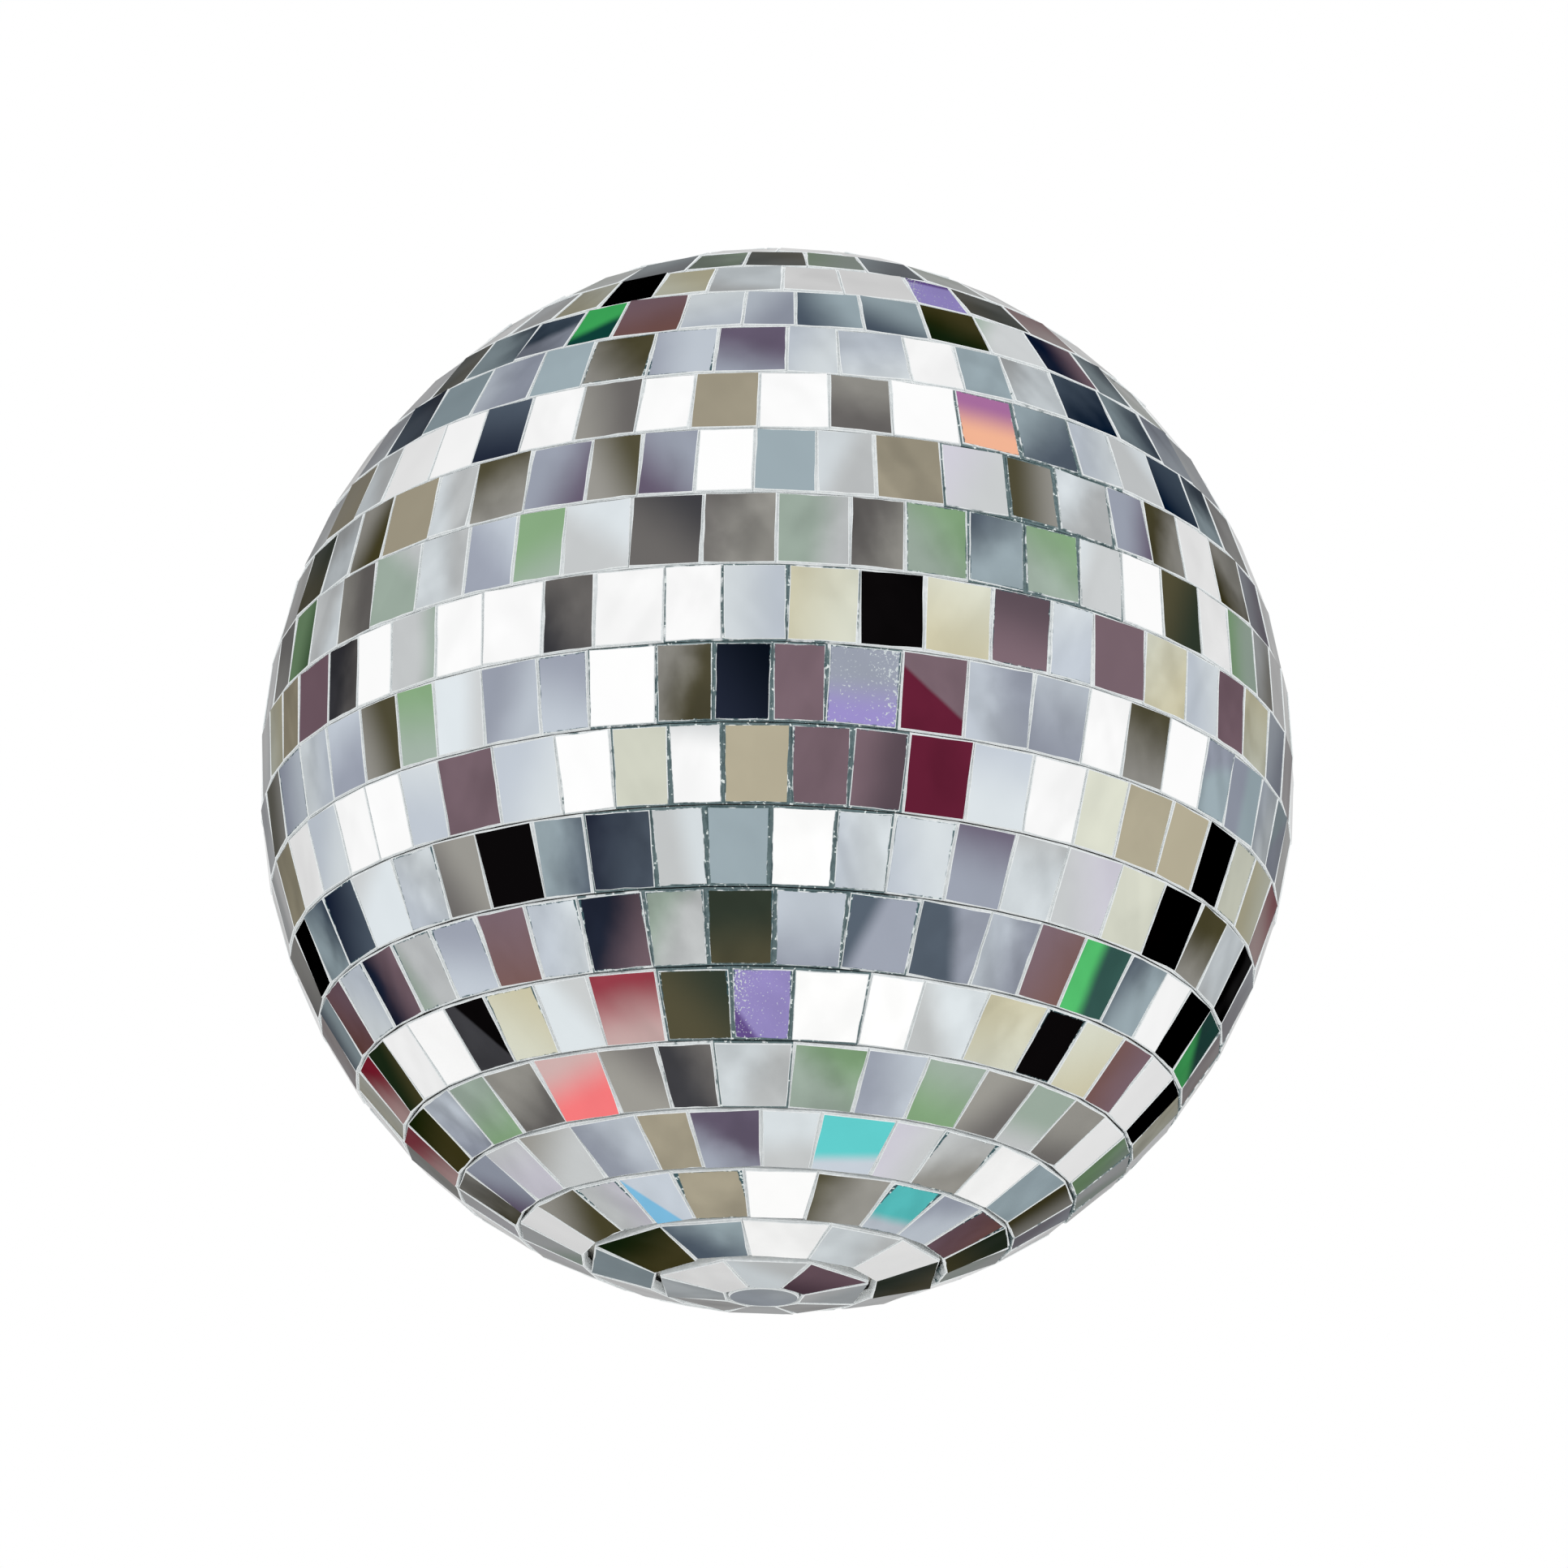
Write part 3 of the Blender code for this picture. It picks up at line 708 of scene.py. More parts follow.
# %% The looks
# How a look turns from its first tone to its second: (share of the face that the change takes, how far the
# change strays from the middle).
EVEN, SWEEP, FOLD, CREASE, GLOW = (1.6, 0.2), (0.95, 0.25), (0.07, 0.18), (0.28, 0.2), (0.55, 0.42)
LOOKS = {name: (name, name, EVEN) for name in "white steel black khaki ivory tan mauve crimson".split()}
for change, looks in (
    (EVEN, "navy: navy slate, ink: ink navy, sand: sand ivory, brown: brown mauve"),
    (SWEEP, "pearl: pearl white, frost: frost pearl, dusk: dusk frost, lavender: lavender silver"),
    (SWEEP, "slate: slate steel, charcoal: charcoal smoke, smoke: smoke stone, stone: stone silver"),
    (SWEEP, "leaf: leaf sage, moss: moss leaf, olive: olive stone, pine: pine olive"),
    (SWEEP, "mauve_shade: plum mauve, heather: heather dusk, mauve_dusk: mauve navy"),
    (GLOW, "lit_corner: white silver, silver: silver pearl, sage: sage silver, lilac: violet dusk"),
    (CREASE, "dusk_fold: dusk steel, slate_fold: slate dusk"),
    (FOLD, "black_fold: black charcoal, crimson_fold: mauve crimson, sky: frost sky"),
    ((0.12, 0.0), "violet: violet grape"),
    ((0.9, 0.1), "ember: blush red"),
    ((0.7, 0.1), "coral: coral blush"),
    ((0.25, 0.1), "aqua: frost aqua"),
    ((0.3, 0.1), "flash: pool flash"),
    ((0.6, 0.1), "sunset: peach orchid"),
):
    for look in looks.split(", "):
        name, tones = look.split(": ")
        LOOKS[name] = (*tones.split(), change)
# Looks whose change always lies at the same place, and those that change from bottom to top.
SHIFTED = {"violet": -0.36, "aqua": 0.22, "coral": -0.1}
UPRIGHT = ("ember", "coral", "sunset", "aqua")
print(f"{len(TONES)} tones in {len(LOOKS)} looks")

# %% The mix of each row, from the bottom up
ROW_MIXES = """
silver silver pearl frost stone smoke khaki
white silver slate_fold slate silver pine steel
silver stone khaki lit_corner olive lavender smoke sage dusk
silver stone khaki mauve lit_corner lavender olive silver heather
sage leaf moss dusk smoke charcoal silver steel leaf
white white white pearl frost sand black_fold silver brown
dusk_fold slate_fold dusk steel frost brown sage pine slate silver
frost dusk navy slate silver silver white heather steel black
white white white pearl frost lit_corner ivory mauve tan sage
white dusk frost dusk silver olive mauve leaf dusk_fold smoke
white white white pearl silver charcoal khaki mauve sand dusk
sage leaf moss dusk charcoal smoke silver stone slate leaf
silver lavender olive heather khaki olive stone pine smoke white
white white smoke white charcoal khaki silver slate navy
lavender olive heather frost silver dusk steel navy slate
slate_fold dusk steel slate brown pine sage navy moss
white black silver frost black_fold sand pine slate white
sage pine slate moss moss leaf charcoal olive navy
olive lavender silver moss pine charcoal slate khaki
sage slate pine charcoal leaf moss
silver stone olive frost moss slate
"""
MIXES = [line.split() for line in ROW_MIXES.strip().split("\n")]

# %% [markdown]
# Some mirrors catch something of their own: a red curtain, a blue lamp. On the front of the ball these are
# listed in runs. A run is its row from the bottom, the degrees of its first mirror to the right of the
# front, and the looks of that mirror and of the ones to its right.

# %% Mirrors placed one by one
PLACED = """
1 -45 white silver mauve_shade
2 -56 pine slate white silver white pine
3 -70 white olive lavender
3 -34 sky khaki white olive aqua dusk brown pine
4 -80 olive heather lavender stone white
4 -37 dusk khaki heather silver aqua lavender stone white steel olive heather
5 -93 pine ember pine dusk leaf smoke
5 -31 coral smoke charcoal silver leaf dusk leaf smoke sage smoke white leaf
6 -95 black sand ember pine white white
6 -41 black_fold sand silver ember pine violet white white silver sand black sand brown white black sand
7 -75 slate brown frost mauve_dusk sage dusk
7 -35 brown frost mauve_dusk sage pine dusk slate_fold slate_fold dusk brown flash slate white black flash
8 -83 smoke black slate navy silver
8 -51.5 silver frost smoke black slate navy silver steel white frost frost heather silver olive
8 38 lavender ivory black olive
9 -44.8 white frost mauve frost white ivory lit_corner tan mauve mauve_shade crimson frost white ivory
9 44 tan tan black ivory sand
10 -45.8 olive leaf silver dusk dusk white olive ink mauve lilac crimson_fold dusk dusk white olive white
11 -49.4 charcoal white sage white white charcoal white white frost sand black sand mauve_shade frost mauve
11 45 sand frost mauve sand
12 -23 leaf silver charcoal smoke sage smoke leaf slate leaf silver white pine white leaf stone white
13 -13 heather white steel silver khaki lavender olive silver heather olive white olive heather
14 -18 smoke white khaki white smoke white sunset slate frost silver navy
15 -18 olive dusk heather frost frost white steel silver navy slate
16 -22 flash brown frost dusk slate slate pine sage mauve_dusk
17 -21 black sand silver white white violet pine ember
18 -36 leaf slate moss pine leaf slate leaf charcoal
19 14 aqua
"""
VIVID = "crimson violet ember coral aqua sky flash sunset lilac crimson_fold".split()
VIVID_CHANCE = 0.04
CALM_FRONT = math.radians(50)
RUNS = [(int(row), float(degrees), looks)
        for row, degrees, *looks in map(str.split, PLACED.strip().split("\n"))]
print(f"{sum(len(looks) for _, _, looks in RUNS)} mirrors placed by hand")

# %% Paint the rows
PAINT_SEED = 40
RIM_CHANCE, AGED_RIM_CHANCE = 0.08, 0.55


def looks_of_row(number, middles, dice):
    mix = MIXES[number - 1]
    looks = []
    for middle in middles:
        vivid = dice.random() < VIVID_CHANCE and off_by(middle, 0) >= CALM_FRONT
        choice = dice.choice(VIVID if vivid else mix)
        if looks and choice == looks[-1] and choice not in ("white", "silver"):
            choice = dice.choice(mix)
        looks.append(choice)
    for row, degrees, run in RUNS:
        if row == number:
            first = min(range(len(middles)), key=lambda i: off_by(middles[i], degrees))
            for step, look in enumerate(run):
                looks[(first + step) % len(looks)] = look
    return looks


def mirror_values(look, age, dice):
    """What one mirror's vertices carry: the two tones of its painted reflection, the sweep between them, its wear
    with the strength of its clouding and painted reflection streaks, and its patch's age.
    """
    first, second, (change, stray) = LOOKS[look]
    shade = dice.uniform(0.9, 1.06)
    tones = [tuple(min(1.0, part * shade) for part in TONES[tone][:3]) + (1.0,) for tone in (first, second)]
    if look == "white":
        tones = [TONES["white"], TONES["white"]]
    aim = dice.uniform(0, math.tau)
    if look in UPRIGHT:
        aim = math.pi / 2 + dice.uniform(-0.3, 0.3)
    offset = SHIFTED.get(look, dice.uniform(-stray, stray))
    sweep = (math.cos(aim) / change, math.sin(aim) / change, offset / change + 0.5)
    pale = look in ("white", "lit_corner", "pearl")
    clouding_and_reflection = dice.uniform(0.0, 0.25) if pale else dice.choice((0.1, 0.25, 0.5, 0.8)) * dice.uniform(0.5, 1)
    flaw = 1.0 if look in ("violet", "lilac") else 0.0
    rim = 1.0 if not pale and dice.random() < RIM_CHANCE + AGED_RIM_CHANCE * age else 0.0
    return tones[0], tones[1], sweep, (clouding_and_reflection, flaw, rim), (age, 0.0, 0.0)


def paint_mirrors(mesh, values):
    """Gives every vertex its mirror's values."""
    numbers = np.empty(len(mesh.vertices), np.int32)
    mesh.attributes["mirror_number"].data.foreach_get("value", numbers)
    for column, name in enumerate(("tone_a", "tone_b", "sweep", "wear", "patch")):
        table = np.array([value[column] for value in values])
        carry(mesh, name, "FLOAT_COLOR" if column < 2 else "FLOAT_VECTOR", table[numbers])


painted = []
for number, (obj, row) in enumerate(zip(laid, rows), 1):
    dice = random.Random(PAINT_SEED + number)
    looks = looks_of_row(number, row["middles"], dice)
    values = [mirror_values(look, age_at(number, middle), dice) for look, middle in zip(looks, row["middles"])]
    paint_mirrors(obj.data, values)
    painted += looks
print("commonest looks:", Counter(painted).most_common(8))

# %% [markdown]
# ## The pole mirror
# The gap at the bottom pole is too small for square mirrors, so one round mirror closes it. It has the same
# layers.


# %% Build the pole mirror
POLE_SEGMENTS = 48
POLE_SPREAD = 2.3


def pole_mirror():
    low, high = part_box("pole_mirror")
    radius, arris, bed = high.x, MIRROR_SIZES["Arris"], high.x + ROW_REACH / 2
    bed_height = low.z + MIRROR_SIZES["Bed depth"]
    rings = (
        (radius - arris, low.z),
        (radius, low.z + arris),
        (radius, bed_height),
        (bed, bed_height),
        (bed, high.z),
    )
    turns = [-math.tau * step / POLE_SEGMENTS for step in range(POLE_SEGMENTS)]
    points = [(r * math.cos(turn), r * math.sin(turn), z) for r, z in rings for turn in turns]
    faces, zones = layered_faces(POLE_SEGMENTS)
    mesh = bpy.data.meshes.new("pole_mirror_disc")
    mesh.from_pydata(points, [], faces)
    for finish in (PAINTED_REFLECTION_GLASS, CUT_EDGE, SEAM_BED):
        mesh.materials.append(finish)
    mesh.polygons.foreach_set("material_index", zones)
    carry(mesh, "mirror_number", "INT", [0] * len(points))
    wide = POLE_SPREAD * radius
    carry(mesh, "mirror_place", "FLOAT_VECTOR", [(x / wide, y / wide, 0.5) for x, y, _ in points])
    paint_mirrors(mesh, [mirror_values("frost", 0.0, random.Random(PAINT_SEED))])
    return shown("pole_mirror_disc", mesh)


pole = pole_mirror()

# %% [markdown]
# ## Metal and plastic finishes
# The plate is pressed and plated, the swivel is turned and zinc-plated, the ring is bent from drawn wire.
# The core is moulded from off-white plastic, and the bush from waxy nylon.


# %% Metals
def metal(name, colour, tarnish, roughness, dull_roughness, pitch, line_depth, unevenness):
    """A polished or turned metal: tool rings, dull smears and a warmer tarnish in the smears."""
    w = Finish(name, metallic=1.0)
    marks = w.shared(HANDLING, scale=170.0)
    tone = w.mix(marks["Dull"] * 0.5, paint(*colour), paint(*tarnish))
    dull = marks["Dull"] * 0.7 + marks["Streak"] * 0.3
    lines = w.shared(LATHE, pitch=pitch, unevenness=unevenness)["Height"]
    return w.surface(tone, w.between(roughness, dull_roughness, dull), lines, line_depth, 0.8)


PLATE_CHROME = metal("plate_chrome", (192, 194, 198), (158, 156, 150), 0.10, 0.34, 0.00022, 0.00002, 0.7)
TURNED_STEEL = metal("turned_steel", (156, 158, 163), (124, 120, 114), 0.20, 0.45, 0.00018, 0.00004, 0.4)
SCREW_STEEL = metal("screw_steel", (146, 148, 153), (112, 108, 102), 0.22, 0.5, 0.00012, 0.00003, 0.5)


def drawn_wire():
    """Wire has no tool rings: it has fine grain, dull smears and paler wiped streaks."""
    w = Finish("drawn_wire", metallic=1.0)
    marks = w.shared(HANDLING, scale=320.0)
    tone = w.mix(marks["Streak"], paint(150, 152, 157), paint(196, 196, 194))
    return w.surface(tone, w.between(0.18, 0.42, marks["Dull"]), w.noise(w.here, 2200.0, 3.0), 0.00002, 0.6)


WIRE = drawn_wire()


# %% Plastics
def moulded(name, colour, stained, roughness, grain, coat):
    w = Finish(name, metallic=0.0, coat_weight=coat)
    marks = w.shared(HANDLING, scale=120.0)
    stain = w.shared(CLOUD, scale=45.0)["Cloud"] * 0.5 + marks["Streak"] * 0.3
    tone = w.mix(stain, paint(*colour), paint(*stained))
    dulled = w.between(roughness, roughness + 0.2, marks["Dull"])
    return w.surface(tone, dulled, w.noise(w.here, grain, 3.0), 0.00003, 0.6)


CORE_PLASTIC = moulded("core_plastic", (226, 225, 219), (203, 200, 190), 0.42, 1800.0, 0.0)
BUSH_NYLON = moulded("bush_nylon", (236, 233, 222), (218, 212, 196), 0.32, 1200.0, 0.2)
for node, finish in (
    ("core_lower_shell", CORE_PLASTIC),
    ("core_upper_shell", CORE_PLASTIC),
    ("hanger_bush", BUSH_NYLON),
    ("thrust_washer", TURNED_STEEL),
    ("stem_nut", TURNED_STEEL),
):
    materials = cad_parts[node].data.materials
    for number in range(len(materials)):
        materials[number] = finish
    print(node, "takes", finish.name)

# %% [markdown]
# ## Turned parts
# The plate, the stem and the screws are profiles spun round an axis. The cross bore, the recesses and the
# countersinks are cut with a Boolean, whose result is kept as a plain mesh.


# %% Spin and cut
SPIN_SEGMENTS = 96
SHARP_ANGLE = math.radians(32)
SLIVER = 0.000004


def poured(bm, mesh):
    """Fills a mesh from a bmesh, and lets the bmesh go."""
    bm.to_mesh(mesh)
    bm.free()
    return mesh


def spun(name, profile, finish, segments=SPIN_SEGMENTS):
    """Spins (radius, height) points round Z. A profile off the axis is closed on itself."""
    bm = bmesh.new()
    verts = [bm.verts.new((radius, 0, height)) for radius, height in profile]
    edges = [bm.edges.new(pair) for pair in zip(verts, verts[1:])]
    if profile[0][0] > 0 or profile[-1][0] > 0:
        edges.append(bm.edges.new((verts[-1], verts[0])))
    bmesh.ops.spin(bm, geom=verts + edges, cent=(0, 0, 0), axis=(0, 0, 1), angle=math.tau, steps=segments)
    bmesh.ops.remove_doubles(bm, verts=bm.verts, dist=1e-7)
    bmesh.ops.recalc_face_normals(bm, faces=bm.faces)
    mesh = poured(bm, bpy.data.meshes.new(name))
    mesh.materials.append(finish)
    return shown(name, mesh)


def arc(centre_x, centre_y, radius, start, end, steps):
    """Points on an arc, with both of its ends."""
    for step in range(steps + 1):
        turn = start + (end - start) * step / steps
        yield centre_x + radius * math.cos(turn), centre_y + radius * math.sin(turn)


def cut_by(obj, cutters):
    """Cuts the cutters out of the object, clears the slivers that a Boolean leaves, and shades it smooth."""
    for cutter in cutters:
        boolean = obj.modifiers.new(cutter.name, "BOOLEAN")
        boolean.operation = "DIFFERENCE"
        boolean.object = cutter
    plain(obj)
    for cutter in cutters:
        bpy.data.objects.remove(cutter)
    bm = bmesh.new()
    bm.from_mesh(obj.data)
    bmesh.ops.remove_doubles(bm, verts=bm.verts, dist=SLIVER)
    bmesh.ops.dissolve_degenerate(bm, edges=bm.edges, dist=SLIVER)
    bmesh.ops.triangulate(bm, faces=[face for face in bm.faces if len(face.verts) > 4])
    bmesh.ops.dissolve_degenerate(bm, edges=bm.edges, dist=SLIVER)
    bmesh.ops.recalc_face_normals(bm, faces=bm.faces)
    poured(bm, obj.data).shade_smooth()
    obj.data.set_sharp_from_angle(angle=SHARP_ANGLE)
    return obj


def placed(obj, matrix):
    """Moves an object's mesh, so that the object itself stays at the origin."""
    obj.data.transform(matrix)
    return obj


# %% [markdown]
# The top plate is pressed from sheet. Its rim is rolled over to a soft edge, and a shallow bead stiffens it.


# %% Top plate
def screw_centres():
    """The four screws' places, from the middles of their CAD boxes."""
    for number in range(1, 5):
        low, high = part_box(f"plate_screw_{number}")
        yield (low.x + high.x) / 2, (low.y + high.y) / 2


plate_low, plate_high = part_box("top_plate")
PLATE_RADIUS, PLATE_TOP, PLATE_BOTTOM = plate_high.x, plate_high.z, plate_low.z
screw_low, screw_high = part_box("plate_screw_1")
SCREW_HEAD_RADIUS = (screw_high.x - screw_low.x) / 2
SCREW_TOP, SCREW_BOTTOM = screw_high.z, screw_low.z
SCREW_HEAD_DEPTH, SCREW_SHANK_RADIUS, SCREW_POINT = 0.0014, 0.00125, 0.0008
ROLL, BEAD_RADIUS, BEAD_WIDTH, BEAD_DEPTH, BEAD_STEPS = 0.0007, 0.0136, 0.0006, 0.00022, 12
PLATE_BORE, BORE_EASE, RIM_EASE = 0.00445, 0.0003, 0.0004


def plate_profile():
    """From the bore's bottom out to the rolled rim, and back over the bead to the bore."""
    points = [(PLATE_BORE, PLATE_BOTTOM), (PLATE_RADIUS - RIM_EASE, PLATE_BOTTOM)]
    points.append((PLATE_RADIUS, PLATE_BOTTOM + RIM_EASE))
    points += arc(PLATE_RADIUS - ROLL, PLATE_TOP - ROLL, ROLL, 0, math.pi / 2, 6)
    for step in range(BEAD_STEPS + 1):
        share = step / BEAD_STEPS
        radius = BEAD_RADIUS + BEAD_WIDTH * (1 - 2 * share)
        points.append((radius, PLATE_TOP - BEAD_DEPTH * math.sin(math.pi * share) ** 2))
    return points + [(PLATE_BORE + BORE_EASE, PLATE_TOP), (PLATE_BORE, PLATE_TOP - BORE_EASE)]


def countersink(number, x, y):
    over, under = PLATE_TOP + 0.001, PLATE_BOTTOM - 0.001
    head, shank = SCREW_HEAD_RADIUS + 0.5 * TOUCH_GAP, SCREW_SHANK_RADIUS + 0.5 * TOUCH_GAP
    profile = [(0, over), (head, over), (head, PLATE_TOP - 0.00005)]
    profile += [(shank, PLATE_TOP - SCREW_HEAD_DEPTH - TOUCH_GAP), (shank, under), (0, under)]
    return placed(spun(f"countersink_{number}", profile, PLATE_CHROME, 40), Matrix.Translation((x, y, 0)))


plate = spun("hanger_plate", plate_profile(), PLATE_CHROME)
cut_by(plate, [countersink(number, x, y) for number, (x, y) in enumerate(screw_centres())])
print(f"plate: {len(plate.data.polygons)} faces, {PLATE_RADIUS * 2000:.1f} mm across")

# %% [markdown]
# ## Screws
# Four countersunk screws hold the plate. One is made, with a cross recess and a thread cut as fine rings. A
# tree stands it on four points, each turned by dice, because nobody lines up the recesses.


# %% One screw
THREAD_PITCH, THREAD_DEPTH = 0.0005, 0.00018
CROSS_LENGTH, CROSS_WIDTH, CROSS_DEPTH, CROSS_TAPER = 0.0030, 0.00062, 0.0011, 0.55
HEAD_EDGE = 0.00012


def screw_profile():
    points = [(0, 0), (SCREW_HEAD_RADIUS - HEAD_EDGE, 0), (SCREW_HEAD_RADIUS, -HEAD_EDGE)]
    points.append((SCREW_SHANK_RADIUS, -SCREW_HEAD_DEPTH))
    length = SCREW_TOP - SCREW_BOTTOM - SCREW_POINT
    height = SCREW_HEAD_DEPTH + THREAD_PITCH
    while height < length - THREAD_PITCH:
        points.append((SCREW_SHANK_RADIUS, -height))
        points.append((SCREW_SHANK_RADIUS - THREAD_DEPTH, -height - THREAD_PITCH / 2))
        height += THREAD_PITCH
    return points + [(SCREW_SHANK_RADIUS, -length), (0, -length - SCREW_POINT)]


def recess_arm(name, turn):
    """A wedge, wide at the face and narrow at the bottom, laid across the head."""
    bm = bmesh.new()
    bmesh.ops.create_cube(bm, size=1)
    for vert in bm.verts:
        narrow = CROSS_TAPER if vert.co.z < 0 else 1.0
        vert.co.x *= CROSS_LENGTH * narrow
        vert.co.y *= CROSS_WIDTH * (narrow + 0.2)
        vert.co.z = -CROSS_DEPTH if vert.co.z < 0 else 0.0004
    return placed(shown(name, poured(bm, bpy.data.meshes.new(name))), Matrix.Rotation(turn, 4, "Z"))


screw = spun("screw", screw_profile(), SCREW_STEEL, 32)
cut_by(screw, [recess_arm("recess_arm_a", 0), recess_arm("recess_arm_b", math.pi / 2)])
print(f"one screw: {len(screw.data.polygons)} faces")


# %% Four screws, by a tree
def screw_tree():
    inputs = [GEOMETRY, ("Screw", "Object"), ("Seed", "Int"), ("Steel", "Material")]
    w = Wiring(tree_with("plate_screws", "GeometryNodeTree", inputs, [GEOMETRY]))
    given = w.outs(w.add("NodeGroupInput"))
    joins = {0: (0, 0, 0), 1: (0, 0, math.tau), "Seed": given["Seed"]}
    turn = w.out("FunctionNodeRandomValue", joins, data_type="FLOAT_VECTOR")
    screws = copies(w, given["Geometry"], given["Screw"], Rotation=turn)
    w.add("NodeGroupOutput", {"Geometry": coated(w, screws, given["Steel"])})
    return w.tree


screw_points = bpy.data.meshes.new("plate_screws")
screw_points.from_pydata([(x, y, SCREW_TOP) for x, y in screw_centres()], [], [])
screws = grow(shown("plate_screws", screw_points), screw_tree(), {"Screw": screw, "Seed": 5, "Steel": SCREW_STEEL})
bpy.data.objects.remove(screw)
print(f"four screws: {len(screws.data.polygons)} faces")

# %% [markdown]
# ## Swivel stem
# The stem is turned from bar. Its head has a small dimple on top and a cross bore for the ring's bar,
# opened out at both ends. Its tail is threaded for the lock nut inside the ball.

# %% Stem
stem_low, stem_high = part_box("hanger_stem")
HEAD_RADIUS, HEAD_TOP, STEM_BOTTOM = stem_high.x, stem_high.z, stem_low.z
HEAD_BOTTOM = PLATE_TOP + TOUCH_GAP
STEM_RADIUS, CHAMFER, HEAD_EASE = 0.0025, 0.0006, 0.0002
THREAD_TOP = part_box("stem_nut")[1].z + 0.0004
ring_low, ring_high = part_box("hanging_ring")
WIRE_RADIUS = ring_high.z
CROSS_BORE, FLARE, FLARE_DEPTH = WIRE_RADIUS + 0.00025, 0.0006, 0.0011


def stem_profile():
    points = [(0, HEAD_TOP - HEAD_EASE), (0.0005, HEAD_TOP - HEAD_EASE), (0.0008, HEAD_TOP)]
    points += arc(HEAD_RADIUS - CHAMFER, HEAD_TOP - CHAMFER, CHAMFER, math.pi / 2, 0, 5)
    points += [(HEAD_RADIUS, HEAD_BOTTOM + HEAD_EASE), (HEAD_RADIUS - HEAD_EASE, HEAD_BOTTOM)]
    points += [(STEM_RADIUS, HEAD_BOTTOM), (STEM_RADIUS, THREAD_TOP)]
    height = THREAD_TOP
    while height > STEM_BOTTOM + CHAMFER + THREAD_PITCH:
        points.append((STEM_RADIUS - THREAD_DEPTH, height - THREAD_PITCH / 2))
        points.append((STEM_RADIUS, height - THREAD_PITCH))
        height -= THREAD_PITCH
    return points + [(STEM_RADIUS, STEM_BOTTOM + CHAMFER), (STEM_RADIUS - CHAMFER, STEM_BOTTOM), (0, STEM_BOTTOM)]


def bore_cutter():
    """A cylinder along X that flares at the head's two sides."""
    mouth = HEAD_RADIUS + 0.0005
    half = [(0, mouth), (CROSS_BORE + FLARE, mouth), (CROSS_BORE, mouth - FLARE_DEPTH)]
    profile = [(radius, -height) for radius, height in half] + half[::-1]
    return placed(spun("bore_cutter", profile, TURNED_STEEL, 48), Matrix.Rotation(math.pi / 2, 4, "Y"))


stem = cut_by(spun("swivel_stem", stem_profile(), TURNED_STEEL, 64), [bore_cutter()])
print(f"stem: {len(stem.data.polygons)} faces, head {HEAD_RADIUS * 2000:.1f} mm across")

# %% [markdown]
# ## Hanging ring
# The ring is one length of wire bent to a D through the stem's bore, and butt-welded on one leg, where a
# small bead stands up. It is a curve with a round bevel, whose points' radius swells at the weld. Its bar
# lies on the hang point, and its round end droops until it rests just over the plate.

# %% Ring
RING_HALF_WIDTH = ring_high.x - WIRE_RADIUS
RING_DROP = -(ring_low.z + WIRE_RADIUS)
RING_REACH = math.hypot(ring_high.y - WIRE_RADIUS, RING_DROP)
RING_DROOP = math.atan2(RING_DROP, ring_high.y - WIRE_RADIUS)
RING_CORNER, CORNER_STEPS, LEG_STEPS, END_STEPS = 0.0022, 10, 12, 48
RING_LEG = RING_REACH - RING_HALF_WIDTH
WELD_SWELL, WELD_LENGTH, WELD_Y = 0.13, 0.0007, (RING_LEG + RING_CORNER) / 2


def ring_path():
    """Points round the D, from the bar's right end, up the right leg, round the end and down the left leg."""
    right = list(arc(RING_HALF_WIDTH - RING_CORNER, RING_CORNER, RING_CORNER, -math.pi / 2, 0, CORNER_STEPS))
    for step in range(1, LEG_STEPS):
        right.append((RING_HALF_WIDTH, RING_CORNER + (RING_LEG - RING_CORNER) * step / LEG_STEPS))
    left = [(-x, y) for x, y in reversed(right)]
    return right + list(arc(0, RING_LEG, RING_HALF_WIDTH, 0, math.pi, END_STEPS)) + left


def bent_ring():
    curve = bpy.data.curves.new("wire_ring", "CURVE")
    curve.dimensions = "3D"
    curve.bevel_depth = WIRE_RADIUS
    curve.bevel_resolution = 6
    path = ring_path()
    spline = curve.splines.new("POLY")
    spline.points.add(len(path) - 1)
    for point, (x, y) in zip(spline.points, path):
        point.co = (x, y, 0, 1)
        if x < 0:
            point.radius = 1 + WELD_SWELL * math.exp(-(((y - WELD_Y) / WELD_LENGTH) ** 2))
    spline.use_cyclic_u = True
    source = shown("wire_ring_path", curve)
    mesh = made_mesh(source)
    bpy.data.objects.remove(source)
    mesh.name = "wire_ring"
    mesh.materials.clear()
    mesh.materials.append(WIRE)
    mesh.shade_smooth()
    return placed(shown("wire_ring", mesh), Matrix.Rotation(-RING_DROOP, 4, "X"))


ring = bent_ring()
print(f"ring: {len(ring.data.polygons)} faces, droops {math.degrees(RING_DROOP):.1f} degrees")

# %% [markdown]
# ## Studio
# The room is plain: a white surround, three soft lights and a pale floor that fades out into the white. The
# two large lights are kept out of reflections, or each would burn out the mirrors that face it. Only the
# small light overhead shows, as a highlight on the metal.

# %% World, lights and floor
FLOOR_Z = -0.62
FLOOR_RADIUS = 1.5

world = bpy.data.worlds.new("studio")
world.use_nodes = True
world.node_tree.nodes["Background"].inputs["Color"].default_value = (1, 1, 1, 1)
world.node_tree.nodes["Background"].inputs["Strength"].default_value = 1.0
bpy.context.scene.world = world
bpy.context.scene.view_settings.view_transform = "Standard"


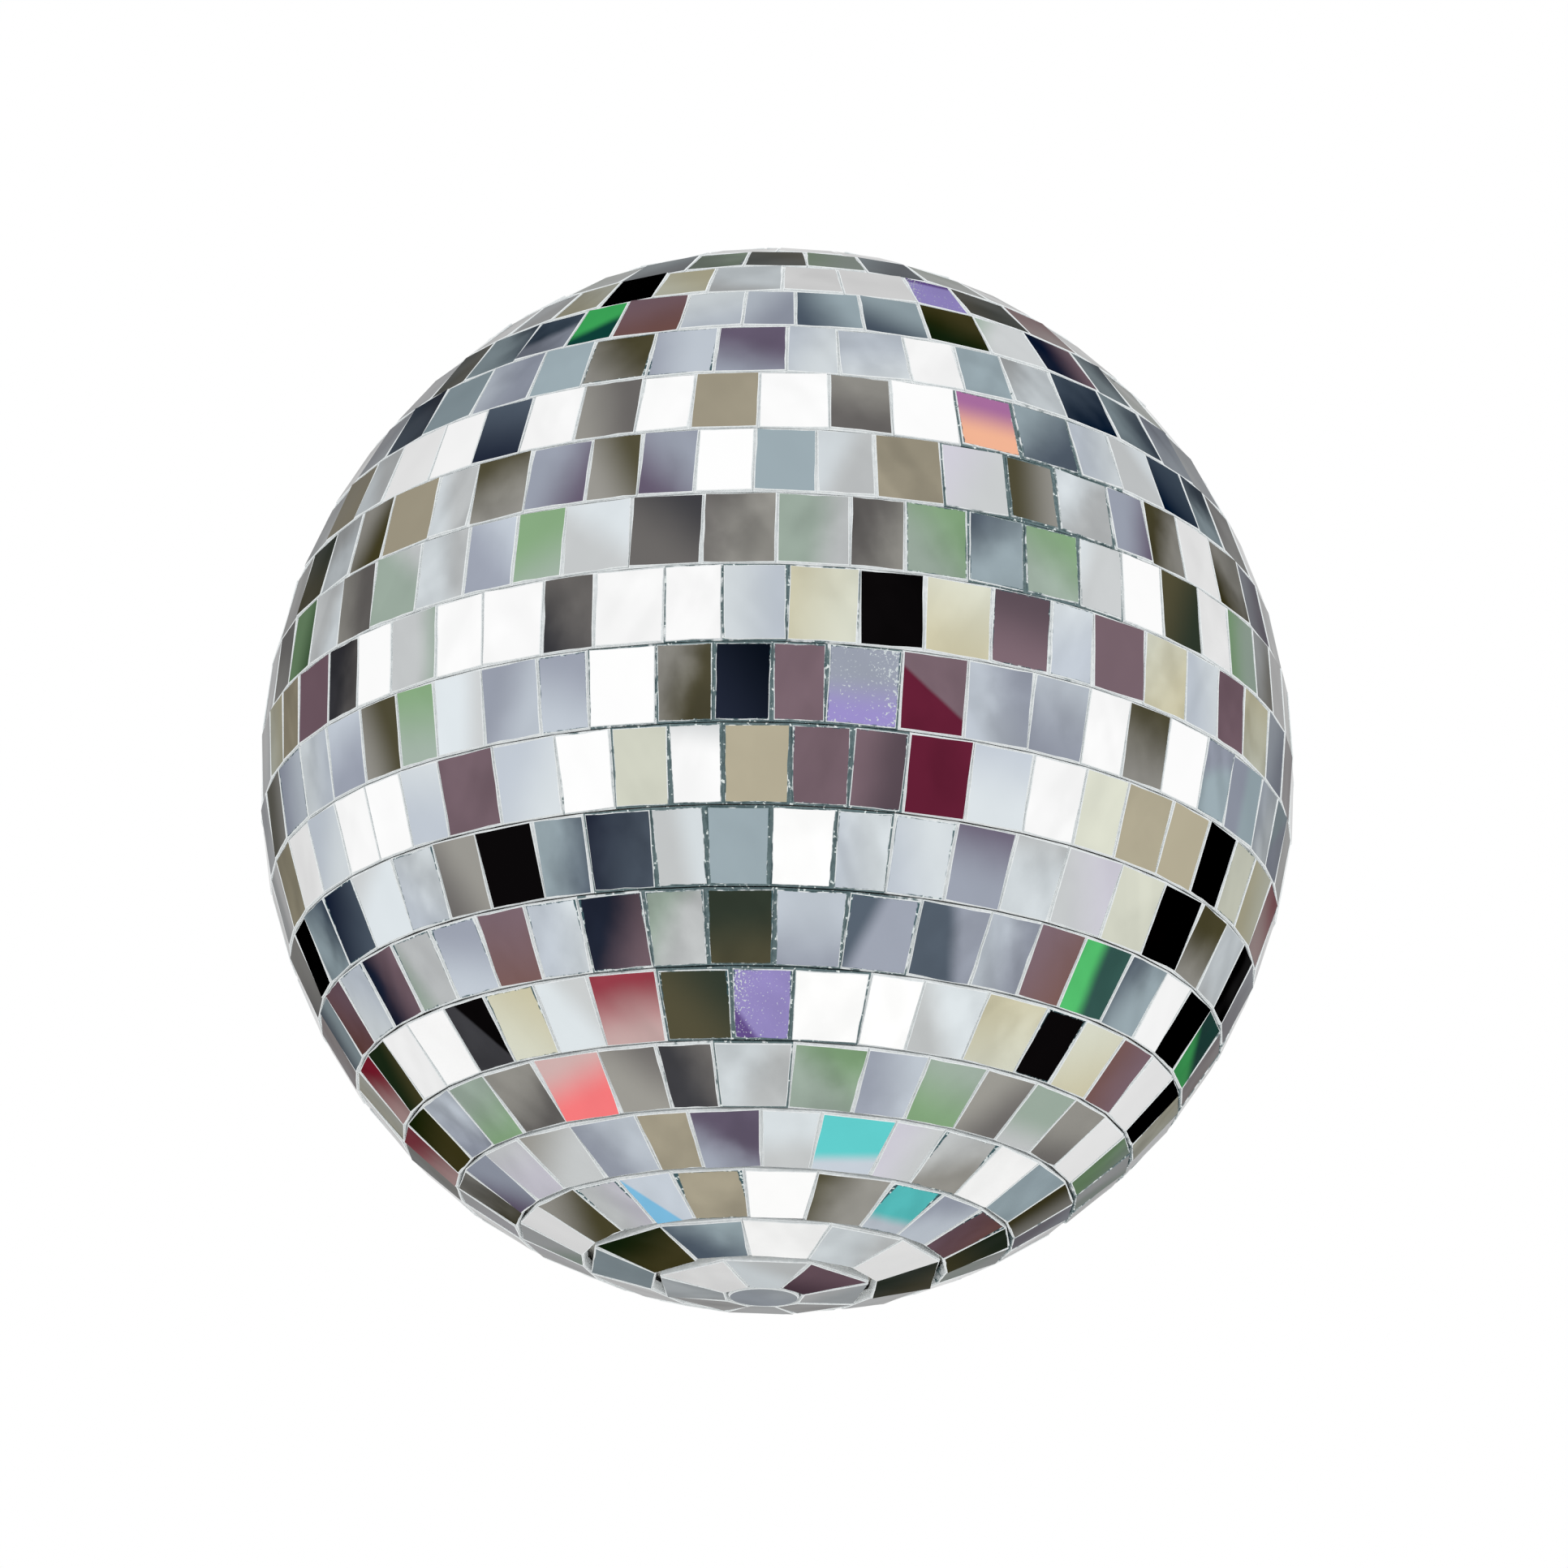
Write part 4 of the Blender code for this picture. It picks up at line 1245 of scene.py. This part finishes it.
def soft_light(name, place, size, power, in_mirrors=False):
    """A round light that faces the middle of the ball."""
    data = bpy.data.lights.new(name, "AREA")
    data.shape = "DISK"
    data.size = size
    data.energy = power
    light = shown(name, data)
    light.location = place
    light.visible_glossy = in_mirrors
    x, y, z = place[0], place[1], place[2] - ball_centre_z
    light.rotation_euler = (math.atan2(math.hypot(x, y), z), 0, math.atan2(y, x) + math.pi / 2)


soft_light("key_light", (-0.9, -1.1, 0.9), 0.8, 3.0)
soft_light("fill_light", (1.2, -0.8, 0.2), 1.0, 3.0)
soft_light("overhead_light", (0.45, 0.6, 1.2), 0.5, 0.35, in_mirrors=True)


def floor_finish():
    w = Finish("pale_floor", base_color=paint(246, 246, 245), roughness=0.8)
    x, y, _ = w.parts(w.here)
    fade = 1.0 - w.ramp(w.root(x, y), FLOOR_RADIUS * 0.25, FLOOR_RADIUS * 0.98)
    w.tree.links.new(fade.socket, w.shader.inputs["Alpha"])
    return w.material


bm = bmesh.new()
bmesh.ops.create_circle(bm, cap_ends=True, radius=FLOOR_RADIUS, segments=96)
bmesh.ops.translate(bm, verts=bm.verts, vec=(0, 0, FLOOR_Z))
floor = shown("floor", poured(bm, bpy.data.meshes.new("floor")))
floor.data.materials.append(floor_finish())
print(f"floor at {FLOOR_Z * 1000:.0f} mm")

# %% Hand the rows to the frame
for node, obj in zip(ROWS, laid):
    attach(obj, "ball")
    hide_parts(node)

# %% [markdown]
# Each of the other pieces says which body carries it, which CAD nodes it stands for, and its slot.

# %% Hand the other pieces to the frame
SCREW_NODES = [f"plate_screw_{number}" for number in range(1, 5)]
for obj, body, nodes, slot in (
    (pole, "ball", ["pole_mirror"], "mirror_glass"),
    (plate, "ball", ["top_plate"], "plate_chrome"),
    (screws, "ball", SCREW_NODES, "hanger_steel"),
    (stem, "hanger", ["hanger_stem"], "hanger_steel"),
    (ring, "ring", ["hanging_ring"], "hanger_steel"),
):
    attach(obj, body)
    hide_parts(*nodes)
    print(obj.name, "rides on", body)
